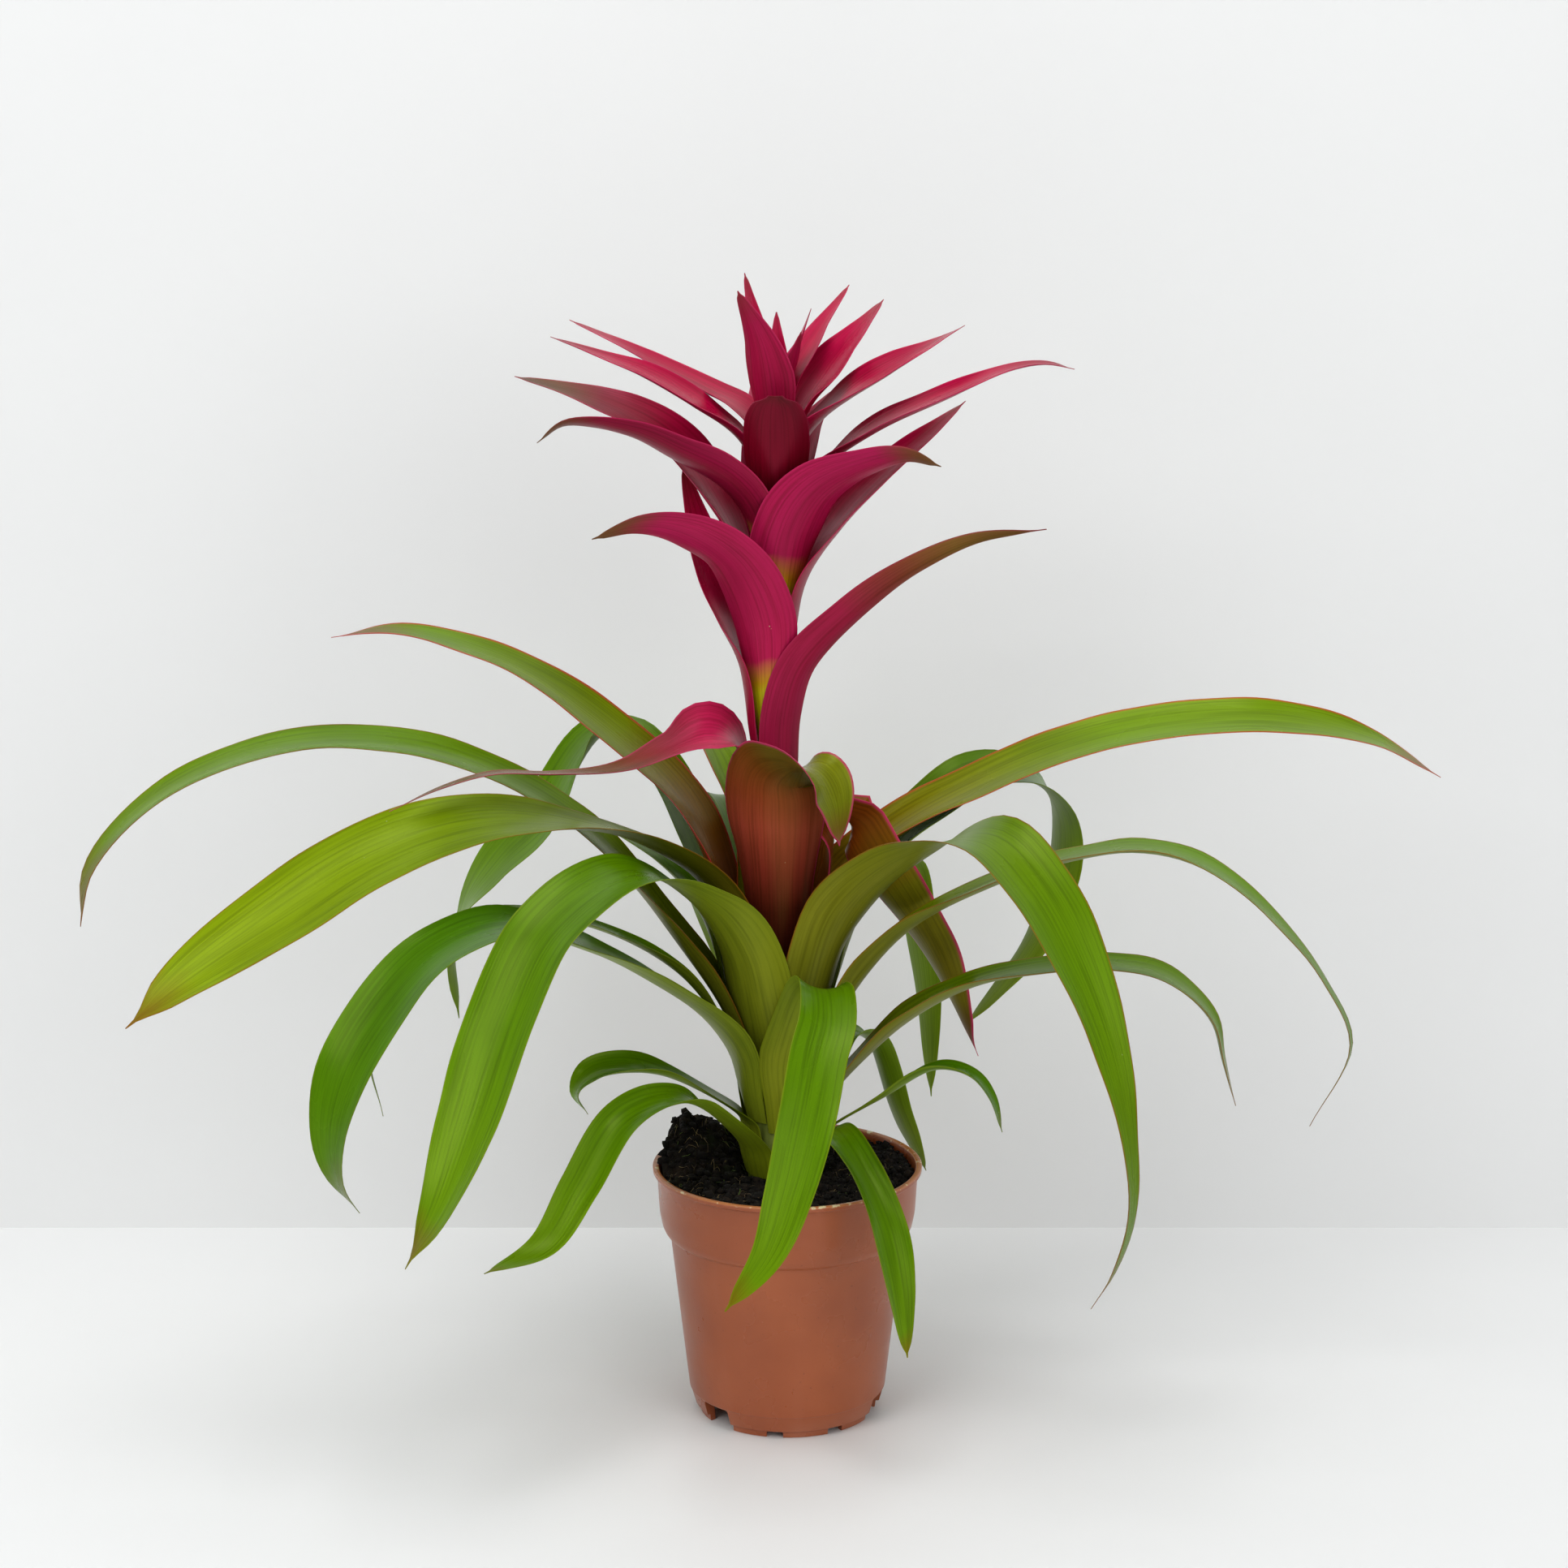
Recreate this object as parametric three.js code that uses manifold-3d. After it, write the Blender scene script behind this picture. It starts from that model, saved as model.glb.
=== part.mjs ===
// A guzmania in its nursery pot: strap leaves that clasp a short stock, and a tall head of magenta bracts.
// Millimetres, +Z up, the pot stands on z = 0 with its axis on the origin, and the side that shows is at -Y.
import * as THREE from "three";
import Module from "manifold-3d";

const RIM_R = 60; // a 12 cm nursery pot
const POT_H = 114;
const WALL = 1.5;
const COLLAR_H = 27;
const FOOT_R = 39.7;
const FLOOR_Z = 11.5;
const SOIL_Z = 111; // the compost's level at the wall
const GAP = 0.3; // between pieces that touch
const LEAF_T = 0.8;
const TIP_HALF_WIDTH = 0.6;

const wasm = await Module();
wasm.setup();
const plant = new THREE.Group();
plant.name = "potted_guzmania";

function addPiece(name, geometry, colour, roughness = 0.5) {
  const mesh = new THREE.Mesh(geometry, new THREE.MeshStandardMaterial({ color: colour, roughness }));
  mesh.name = name;
  plant.add(mesh);
}

function toSolid(geometry) {
  const { points, faces } = mergePoints(geometry);
  return new wasm.Manifold(new wasm.Mesh({ numProp: 3, vertProperties: points, triVerts: faces }));
}

// Points that lie in one place become one point, and faces that lose a corner by it go.
function mergePoints(geometry) {
  const from = geometry.attributes.position;
  const corners = geometry.index ? geometry.index.array : [...Array(from.count).keys()];
  const seen = new Map();
  const points = [];
  const faces = [];
  const idOf = (i) => {
    const xyz = [from.getX(i), from.getY(i), from.getZ(i)];
    const key = xyz.map((v) => Math.round(v * 1e4)).join();
    if (!seen.has(key)) {
      seen.set(key, points.length / 3);
      points.push(...xyz);
    }
    return seen.get(key);
  };
  for (let i = 0; i < corners.length; i += 3) {
    const [a, b, c] = [idOf(corners[i]), idOf(corners[i + 1]), idOf(corners[i + 2])];
    if (a !== b && b !== c && c !== a) faces.push(a, b, c);
  }
  return { points: new Float32Array(points), faces: new Uint32Array(faces) };
}

function fromSolid(solid) {
  const mesh = solid.getMesh();
  const geometry = new THREE.BufferGeometry();
  geometry.setAttribute("position", new THREE.BufferAttribute(new Float32Array(mesh.vertProperties), 3));
  geometry.setIndex(new THREE.BufferAttribute(new Uint32Array(mesh.triVerts), 1));
  return geometry;
}

// A profile of [radius, height] points that starts and ends on the axis, turned about +Z.
function turned(profile, sides) {
  const geometry = new THREE.LatheGeometry(profile.map(([r, z]) => new THREE.Vector2(r, z)), sides);
  return toSolid(geometry.rotateX(Math.PI / 2));
}

function box(width, depth, height, x, y, z, turn) {
  const geometry = new THREE.BoxGeometry(width, depth, height);
  return toSolid(geometry.translate(x, y, z).rotateZ(turn));
}

// Pot: one plastic moulding, a flared wall with a rolled rim collar, a raised floor and a notched foot.
const wallR = (z) => 42.4 + 0.119 * z;
const collarZ = POT_H - COLLAR_H;
const potOutside = [
  [0, 0], [FOOT_R, 0], [FOOT_R + 0.4, 3.2], [FOOT_R + 1.9, 3.4], [wallR(10.6), 10.6], [wallR(11) + 0.4, 11],
  [wallR(collarZ - 4) + 0.2, collarZ - 4], [RIM_R - 5.6, collarZ - 2.6], [RIM_R - 4.2, collarZ],
  [RIM_R - 3, collarZ + 6], [RIM_R - 1.8, POT_H - 3], [RIM_R, POT_H - 2.2], [RIM_R, POT_H - 0.5],
  [RIM_R - 0.6, POT_H], [0, POT_H],
];
const potInside = [
  [0, FLOOR_Z + WALL], [wallR(FLOOR_Z) - WALL - 1.2, FLOOR_Z + WALL],
  [wallR(FLOOR_Z + 4) - WALL, FLOOR_Z + 4], [wallR(collarZ - 4) - WALL, collarZ - 4],
  [RIM_R - 5.6, collarZ + 3], [RIM_R - 3.2, POT_H - 2], [RIM_R - 2.4, POT_H + 1], [0, POT_H + 1],
];
const underFloor = [[0, -1], [FOOT_R - 2.6, -1], [FOOT_R - 1.6, FLOOR_Z], [0, FLOOR_Z]];
let pot = turned(potOutside, 40).subtract(turned(potInside, 30)).subtract(turned(underFloor, 30));
for (let i = 0; i < 9; i++) {
  const turn = THREE.MathUtils.degToRad(-90 - 48 + 40 * i);
  const deep = i % 3 === 0;
  pot = pot.subtract(box(12, deep ? 15.5 : 7.4, deep ? 21 : 6.2, FOOT_R, 0, 0, turn));
  const drain = new THREE.CylinderGeometry(4, 4, 8, 12).rotateX(Math.PI / 2).translate(24, 0, FLOOR_Z);
  if (deep) pot = pot.subtract(toSolid(drain.rotateZ(turn)));
}
addPiece("pot", fromSolid(pot), 0xa8583a, 0.4);

// The stock and the flower stalk are one stem, a little off the pot's axis further up.
const stemRadius = [
  [88, 12], [96, 16.6], [112, 16.6], [140, 14.8], [170, 12.6], [210, 9.6], [250, 6.4], [300, 4.6], [360, 4],
  [410, 3.4], [440, 2.8],
];
const stemCentre = [[88, 0], [112, -1], [200, -3.5], [310, -7], [400, -4], [440, -3.5], [520, -3.5]];

function along(table, z) {
  let i = 0;
  while (i < table.length - 2 && z > table[i + 1][0]) i++;
  const [[za, a], [zb, b]] = [table[i], table[i + 1]];
  return a + (b - a) * THREE.MathUtils.clamp((z - za) / (zb - za), 0, 1);
}

// Rings of points, each [x, y, z], joined in order and closed by a flat fan at both ends.
function ringSolid(rings) {
  const geometry = new THREE.BufferGeometry();
  const points = rings.flat(2);
  const n = rings[0].length;
  const faces = [];
  for (let i = 0; i < rings.length - 1; i++)
    for (let j = 0; j < n; j++) {
      const [a, b, c, d] = [i * n + j, i * n + ((j + 1) % n), (i + 1) * n + j, (i + 1) * n + ((j + 1) % n)];
      faces.push(a, b, d, a, d, c);
    }
  const last = (rings.length - 1) * n;
  for (let j = 1; j < n - 1; j++) faces.push(0, j + 1, j, last, last + j, last + j + 1);
  geometry.setAttribute("position", new THREE.Float32BufferAttribute(points, 3));
  geometry.setIndex(faces);
  return geometry;
}

function ring(x, y, z, r, sides) {
  const turns = [...Array(sides).keys()].map((j) => (2 * Math.PI * j) / sides);
  return turns.map((t) => [x + r * Math.cos(t), y + r * Math.sin(t), z]);
}
addPiece("stem", ringSolid(stemRadius.map(([z, r]) => ring(along(stemCentre, z), 0, z, r, 16))), 0x6f7a35);

// Soil: a plug of compost in the pot, heaped at the back left, with a plain hole that the stem stands in.
const soilRings = [
  [wallR(13.4) - 4, 13.4], [wallR(17) - 2.2, 17], [wallR(collarZ) - WALL - 0.8, collarZ - 1],
  [RIM_R - 5.4, SOIL_Z - 8], [RIM_R - 4.2, SOIL_Z - 0.6], [48, SOIL_Z + 0.5], [36, SOIL_Z + 1],
  [22, SOIL_Z + 1],
];
const heap = (x, y) => 17 * Math.exp(-((x + 43) ** 2 + (y - 21) ** 2) / 480);
const soilSides = 36;
const soilPart = soilRings.map(([r, z], i) =>
  ring(0, 0, z, r, soilSides).map(([x, y], j) => {
    const turn = (2 * Math.PI * j) / soilSides;
    const lump = i > 4 ? 0.7 * Math.sin(5 * turn + i) + 0.5 * Math.sin(11 * turn + 2 * i) : 0;
    return [x, y, z + lump + (i > 3 ? heap(x, y) : 0)];
  }),
);
const holeRadius = [[80, 12.4], [88, 12.4], [96, 17], [108, 17], [114, 21], [140, 30]];
const hole = toSolid(ringSolid(holeRadius.map(([z, r]) => ring(along(stemCentre, z), 0, z, r, 24))));
addPiece("soil", fromSolid(toSolid(ringSolid(soilPart)).subtract(hole)), 0x2a211b, 0.95);

// A blade is a closed solid about a smooth spine. Each spine row is [radius, height, turn, twist]: distance
// from the stem's centre, height, degrees about the stem and degrees about the spine. Its cross-section is
// an arc that wraps the stem at the root, then a deep channel that opens to a shallow one further out.
// The widths run from root to tip, as [place along the spine, share of the full width].
const leafWidths = [
  [0, 1.3], [0.1, 1.3], [0.25, 1.1], [0.45, 1], [0.65, 0.96], [0.8, 0.78], [0.9, 0.5], [0.96, 0.26], [1, 0],
];
const bluntWidths = [
  [0, 1.3], [0.1, 1.25], [0.25, 1.06], [0.45, 1], [0.72, 1], [0.86, 0.78], [0.94, 0.46], [1, 0],
];
const broadFootWidths = [
  [0, 1.3], [0.1, 1.36], [0.25, 1.22], [0.45, 1], [0.72, 0.98], [0.86, 0.76], [0.94, 0.46], [1, 0],
];
const slenderWidths = [
  [0, 1.3], [0.1, 1.1], [0.22, 1], [0.4, 1], [0.55, 0.88], [0.68, 0.56], [0.8, 0.26], [0.92, 0.15], [1, 0],
];
const taperedWidths = [
  [0, 1], [0.15, 1.05], [0.3, 1], [0.45, 0.76], [0.65, 0.64], [0.8, 0.48], [0.92, 0.26], [1, 0],
];
const flapWidths = [
  [0, 1], [0.2, 0.82], [0.5, 1], [0.62, 0.8], [0.72, 0.6], [0.82, 0.5], [0.9, 0.32], [0.96, 0.16], [1, 0],
];
const bractWidths = [
  [0, 0.7], [0.12, 0.86], [0.3, 1], [0.45, 0.98], [0.6, 0.8], [0.75, 0.52], [0.88, 0.28], [0.96, 0.14],
  [1, 0],
];
const slimBractWidths = [[0, 1.3], [0.2, 1.2], [0.4, 1], [0.6, 0.75], [0.75, 0.5], [0.9, 0.26], [1, 0]];
const tailedWidths = [
  [0, 0.66], [0.15, 0.95], [0.25, 1], [0.31, 0.82], [0.38, 0.44], [0.58, 0.3], [0.72, 0.26], [0.86, 0.2],
  [1, 0],
];
const foldedWidths = [
  [0, 1], [0.1, 1.1], [0.2, 1.16], [0.3, 1.2], [0.42, 1.02], [0.58, 0.86], [0.75, 0.76], [0.9, 0.42], [1, 0],
];
const scoopWidths = [[0, 0.66], [0.3, 0.92], [0.6, 1], [0.8, 0.92], [0.93, 0.66], [1, 0.2]];

// The sheath is the first straight stretch, where one blade nests in the next lower one.
function bladeSpine({ az, root, sheath, slope, rows }) {
  const rootR = along(stemRadius, root) + GAP + LEAF_T / 2 + 0.15;
  const start = [0, 0.5, 1].map((k) => [rootR + slope * sheath * k, root + sheath * k, 0, 0]);
  const all = [...start, ...rows];
  const centre = along(stemCentre, root);
  const points = all.map(([r, z, turn = 0]) => {
    const t = THREE.MathUtils.degToRad(az + turn);
    return new THREE.Vector3(centre + r * Math.cos(t), r * Math.sin(t), z);
  });
  return { curve: new THREE.CatmullRomCurve3(points), twists: all.map((row) => row[3] ?? 0), centre };
}

// The columns of points across a blade at each step, as places from -1 to 1.
const across = (n) => [...Array(n + 1).keys()].map((i) => (2 * i) / n - 1);

function blade(spec) {
  const { az, wide, wrap, cup, deep = cup, widths, steps, most = 6, tipWidth = TIP_HALF_WIDTH } = spec;
  const { curve, twists, centre } = bladeSpine(spec);
  const length = curve.getLength();
  const facing = THREE.MathUtils.degToRad(az);
  const side = new THREE.Vector3(-Math.sin(facing), Math.cos(facing), 0);
  const sections = [];
  for (let i = 0; i <= steps; i++) {
    const s = i / steps;
    const u = curve.getUtoTmapping(s);
    const at = curve.getPoint(u);
    const ahead = curve.getTangent(u);
    // The side direction is carried along the spine without spinning, then the twist is added.
    side.addScaledVector(ahead, -side.dot(ahead)).normalize();
    const k = u * (twists.length - 1);
    const j = Math.min(Math.floor(k), twists.length - 2);
    const twist = THREE.MathUtils.degToRad(THREE.MathUtils.lerp(twists[j], twists[j + 1], k - j));
    const sideways = side.clone().applyAxisAngle(ahead, twist);
    const up = ahead.clone().cross(sideways);
    const fromStem = Math.hypot(at.x - centre, at.y);
    const clasp = 1 - THREE.MathUtils.smoothstep(s * length, 12, 70);
    const half = Math.max((along(widths, s) * wide) / 2, tipWidth);
    const channel = THREE.MathUtils.lerp(deep, cup, THREE.MathUtils.smoothstep(s * length, 40, 140));
    const free = THREE.MathUtils.degToRad(channel) * Math.min(1, half / (wide * 0.3));
    const wrapped = Math.min(half / fromStem, THREE.MathUtils.degToRad(wrap));
    const angle = THREE.MathUtils.lerp(free, wrapped, clasp);
    const columns = across(s < 0.3 ? most : s < 0.75 ? Math.min(most, 4) : 2);
    const turn0 = Math.atan2(at.y, at.x - centre);
    const points = columns.map((a) => {
      const r = half / angle;
      const open = at.clone().addScaledVector(sideways, r * Math.sin(a * angle));
      open.addScaledVector(up, r * (1 - Math.cos(a * angle)));
      const t = turn0 + a * wrapped;
      const closed = new THREE.Vector3(centre + fromStem * Math.cos(t), fromStem * Math.sin(t), at.z);
      return open.lerp(closed, clasp);
    });
    sections.push({ points, columns, up });
  }
  return thicken(sections);
}

// Both faces of a blade lie half a thickness from its middle surface, split by the same diagonals.
function thicken(sections) {
  const normals = sections.map((section, i) =>
    section.points.map((point, j) => {
      const a = sections[Math.max(i - 1, 0)];
      const b = sections[Math.min(i + 1, sections.length - 1)];
      const place = j / (section.points.length - 1);
      const near = (other) => other.points[Math.round(place * (other.points.length - 1))];
      const ahead = near(b).clone().sub(near(a));
      const next = section.points[Math.min(j + 1, section.points.length - 1)];
      const normal = ahead.cross(next.clone().sub(section.points[Math.max(j - 1, 0)])).normalize();
      return normal.dot(section.up) < 0 ? normal.negate() : normal;
    }),
  );
  const points = [];
  const faces = [];
  const starts = [];
  for (const [i, section] of sections.entries()) {
    starts.push(points.length / 3);
    for (const sign of [1, -1])
      section.points.forEach((point, j) => {
        points.push(...point.clone().addScaledVector(normals[i][j], (sign * LEAF_T) / 2));
      });
  }
  const top = (i, j) => starts[i] + j;
  const under = (i, j) => starts[i] + sections[i].points.length + j;
  for (let i = 0; i < sections.length - 1; i++) {
    const [a, b] = [sections[i].columns, sections[i + 1].columns];
    let [p, q] = [0, 0];
    while (p < a.length - 1 || q < b.length - 1) {
      const onA = q === b.length - 1 || (p < a.length - 1 && a[p + 1] <= b[q + 1] + 1e-6);
      const [i3, j3] = onA ? [i, p + 1] : [i + 1, q + 1];
      faces.push(top(i, p), top(i + 1, q), top(i3, j3), under(i, p), under(i3, j3), under(i + 1, q));
      if (onA) p++;
      else q++;
    }
    for (const [j, k, flip] of [[0, 0, false], [a.length - 1, b.length - 1, true]]) {
      const quad = [top(i, j), under(i, j), under(i + 1, k), top(i, j), under(i + 1, k), top(i + 1, k)];
      faces.push(...(flip ? quad.reverse() : quad));
    }
  }
  for (const [i, flip] of [[0, false], [sections.length - 1, true]])
    for (let j = 0; j < sections[i].points.length - 1; j++) {
      const quad = [top(i, j), top(i, j + 1), under(i, j + 1), top(i, j), under(i, j + 1), under(i, j)];
      faces.push(...(flip ? quad.reverse() : quad));
    }
  const geometry = new THREE.BufferGeometry();
  geometry.setAttribute("position", new THREE.Float32BufferAttribute(points, 3));
  geometry.setIndex(faces);
  return toSolid(geometry).volume() < 0 ? flipped(geometry) : geometry;
}

function flipped(geometry) {
  const index = [...geometry.index.array];
  for (let i = 0; i < index.length; i += 3) [index[i + 1], index[i + 2]] = [index[i + 2], index[i + 1]];
  geometry.setIndex(index);
  return geometry;
}

// Strap leaves, the lowest and outermost first.
const leaves = {
  leaf_front_left_low: { az: 221, root: 112, sheath: 14, wide: 19, wrap: 45, rows: [
    [40, 144, 3], [70, 160, 6, -10], [102, 158, 6, -20], [126, 135, 6, -25], [147, 115, 6, -25],
    [178, 110, 5]] },
  leaf_front_right_low: { az: 300, root: 115, sheath: 14, wide: 19, steps: 12, rows: [
    [40, 141], [63, 131], [86, 111], [97, 87], [104, 58]] },
  leaf_back_right_low: { az: 45, root: 118, sheath: 20, wide: 18, steps: 12, rows: [
    [40, 164], [55, 159], [73, 122], [93, 88]] },
  leaf_right_thin_low: { az: 332, root: 121, sheath: 10, wide: 12, steps: 12, rows: [
    [50, 153], [75, 169], [92, 168], [101, 159], [106, 145]] },
  leaf_left_short_low: { az: 197, root: 124, sheath: 14, wide: 20, steps: 12, rows: [
    [50, 158], [74, 166, 3, -15], [89, 165, 3, -20], [96, 157, 3], [91, 147, 3]] },
  leaf_back_low: { az: 111, root: 127, wide: 28, steps: 11, rows: [
    [45, 195], [80, 213], [112, 204, -5], [138, 176, -10], [152, 140, -13]] },
  leaf_right_low: { az: 350, root: 130, sheath: 16, wide: 24, rows: [
    [53, 181], [83, 200], [114, 209, 0, 5], [146, 212, 0, 5], [168, 208, 0, 5], [187, 191], [193, 172],
    [199, 152]] },
  leaf_front: { az: 278, root: 133, wide: 25, wrap: 32, cup: 14, rows: [
    [43, 202, 8], [62, 211, 8], [80, 203, 5], [92, 192, 1], [108, 170, -3], [122, 143, -7], [131, 119, -11],
    [139, 97, -18]] },
  leaf_left_mid: { az: 208, root: 137, sheath: 30, wide: 34, wrap: 34, deep: 34, steps: 16, rows: [
    [38, 186], [68, 209, 2], [100, 228, 2, -5], [136, 241, 2, -8], [168, 233, 2, -10], [192, 212, 2, -20],
    [209, 188, 2, -30], [216, 163, 2, -25], [214, 143, 2, -10], [204, 127, 2]] },
  leaf_back_right_mid: { az: 72, root: 140, wide: 22, steps: 13, rows: [
    [48, 210], [80, 221], [112, 226, -4], [136, 222, -7], [146, 188, -8], [152, 148, -9], [158, 100, -9]] },
  leaf_left_thin: { az: 191, root: 143, sheath: 28, wide: 14, steps: 13, rows: [
    [46, 204], [86, 228], [132, 235], [168, 211], [182, 178], [177, 147]] },
  leaf_left_long: { az: 184, root: 147, wide: 27, steps: 17, rows: [
    [43, 212], [88, 270, 0, -12], [150, 305, 3, -10], [212, 312, 6, -4], [266, 294, 7, -4],
    [297, 265, 8, -10], [302, 240, 8, -10]] },
  leaf_right_long: { az: 340, root: 150, sheath: 30, wide: 28, widths: slenderWidths, steps: 17, rows: [
    [55, 224], [95, 250, 0, 3], [132, 265], [160, 271], [187, 267], [214, 250], [240, 222], [252, 195],
    [236, 158]] },
  leaf_left_behind: { az: 156, root: 154, sheath: 30, wide: 24, steps: 12, rows: [
    [40, 229], [58, 247], [76, 256], [92, 262]] },
  leaf_front_left_big: { az: 232, root: 158, wide: 33, wrap: 70, widths: broadFootWidths, steps: 17, rows: [
    [31, 216, -2], [50, 242, -5, -5], [88, 262, -8, -20], [132, 246, -9, -30], [158, 214, -8, -30],
    [182, 177, -6, -30], [202, 147, -5, -20], [215, 121, -7]] },
  leaf_back_right_folded: { az: 30, root: 162, wide: 30, wrap: 34, steps: 16, rows: [
    [49, 244], [78, 268, 0, 10], [102, 280, 0, 20], [129, 276, 0, 20], [146, 258, 0, 10], [147, 230],
    [135, 202], [116, 180], [96, 163]] },
  leaf_front_right_big: { az: 312, root: 166, wide: 34, wrap: 40, widths: slenderWidths, steps: 18, rows: [
    [38, 236, 4, -22], [74, 267, 6, -8], [115, 281, 6, 22], [142, 264, 6, 25], [166, 232, 6, 25],
    [183, 196, 6, 25], [192, 158, 6, 10], [192, 131, 6], [184, 108, 6], [173, 90, 6]] },
  leaf_back_left_droop: { az: 147, root: 168, wide: 28, wrap: 35, deep: 30, steps: 16, rows: [
    [42, 250], [64, 286], [84, 302], [104, 293, 0, -45], [130, 257, 0, -70], [156, 232, 0, -65],
    [175, 208, 0, -45], [184, 180, 0, -20], [181, 152]] },
  leaf_left_broad: { az: 208, root: 174, slope: 0.25, wide: 36, wrap: 32, deep: 50, widths: bluntWidths,
    steps: 17, rows: [
      [36, 245, -3], [62, 265, -5], [86, 275, -5, -5], [135, 281, -7, -30], [181, 270, -8, -45],
      [223, 248, -8, -50], [264, 224, -8, -50], [288, 206, -8, -40]] },
  leaf_back: { az: 91, root: 178, sheath: 26, slope: 0.32, wide: 22, wrap: 32, deep: 50, steps: 10, rows: [
    [31, 225], [53, 238], [84, 230], [107, 200], [122, 160]] },
  leaf_back_left: { az: 111, root: 182, sheath: 26, wide: 24, wrap: 34, deep: 46, steps: 10, rows: [
    [30, 237], [43, 257], [62, 268], [88, 259], [106, 232]] },
  upper_leaf_left: { az: 172, root: 187, wide: 38, wrap: 40, deep: 40, widths: taperedWidths, rows: [
    [42, 276, 0, -10], [75, 309, 0, -20], [118, 337, 0, -14], [169, 351, 0, -12], [199, 347, 0, -10]] },
  upper_leaf_right: { az: 34, root: 191, wide: 27, rows: [
    [57, 257, -3], [101, 281, -12, 5], [142, 297, -17, 8], [184, 305, -20, 10], [228, 306, -22, 14],
    [273, 295, -22, 8], [306, 276, -22]] },
  upper_leaf_back_left: { az: 118, root: 196, wide: 24, wrap: 50, steps: 10, rows: [
    [31, 266], [47, 284], [60, 293], [74, 298], [88, 300]] },
  upper_leaf_back_right: { az: 24, root: 200, sheath: 30, wide: 30, wrap: 42, deep: 32, cup: 30,
    widths: foldedWidths, rows: [
      [24, 260, -3, -8], [27, 271, -11, -44], [31, 270, -24, -78], [41, 257, -34, -96], [55, 235, -28, -92],
      [69, 210, -17, -78], [81, 184, -11, -64], [93, 156, -8, -50]] },
  upper_leaf_front: { az: 260, root: 206, slope: 0.12, wide: 52, wrap: 92, deep: 66, cup: 30, steps: 17,
    widths: flapWidths, rows: [
      [17.5, 263], [20, 282], [24, 294, 3], [31, 301, 20, 30], [38, 300, 35, 68], [41, 289, 44, 93],
      [43, 268, 47, 95]] },
};
const leafForm = { sheath: 36, slope: 0.28, wrap: 70, deep: 70, cup: 24, widths: leafWidths, steps: 15 };
for (const [name, spec] of Object.entries(leaves)) addPiece(name, blade({ ...leafForm, ...spec }), 0x5c9430);

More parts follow.
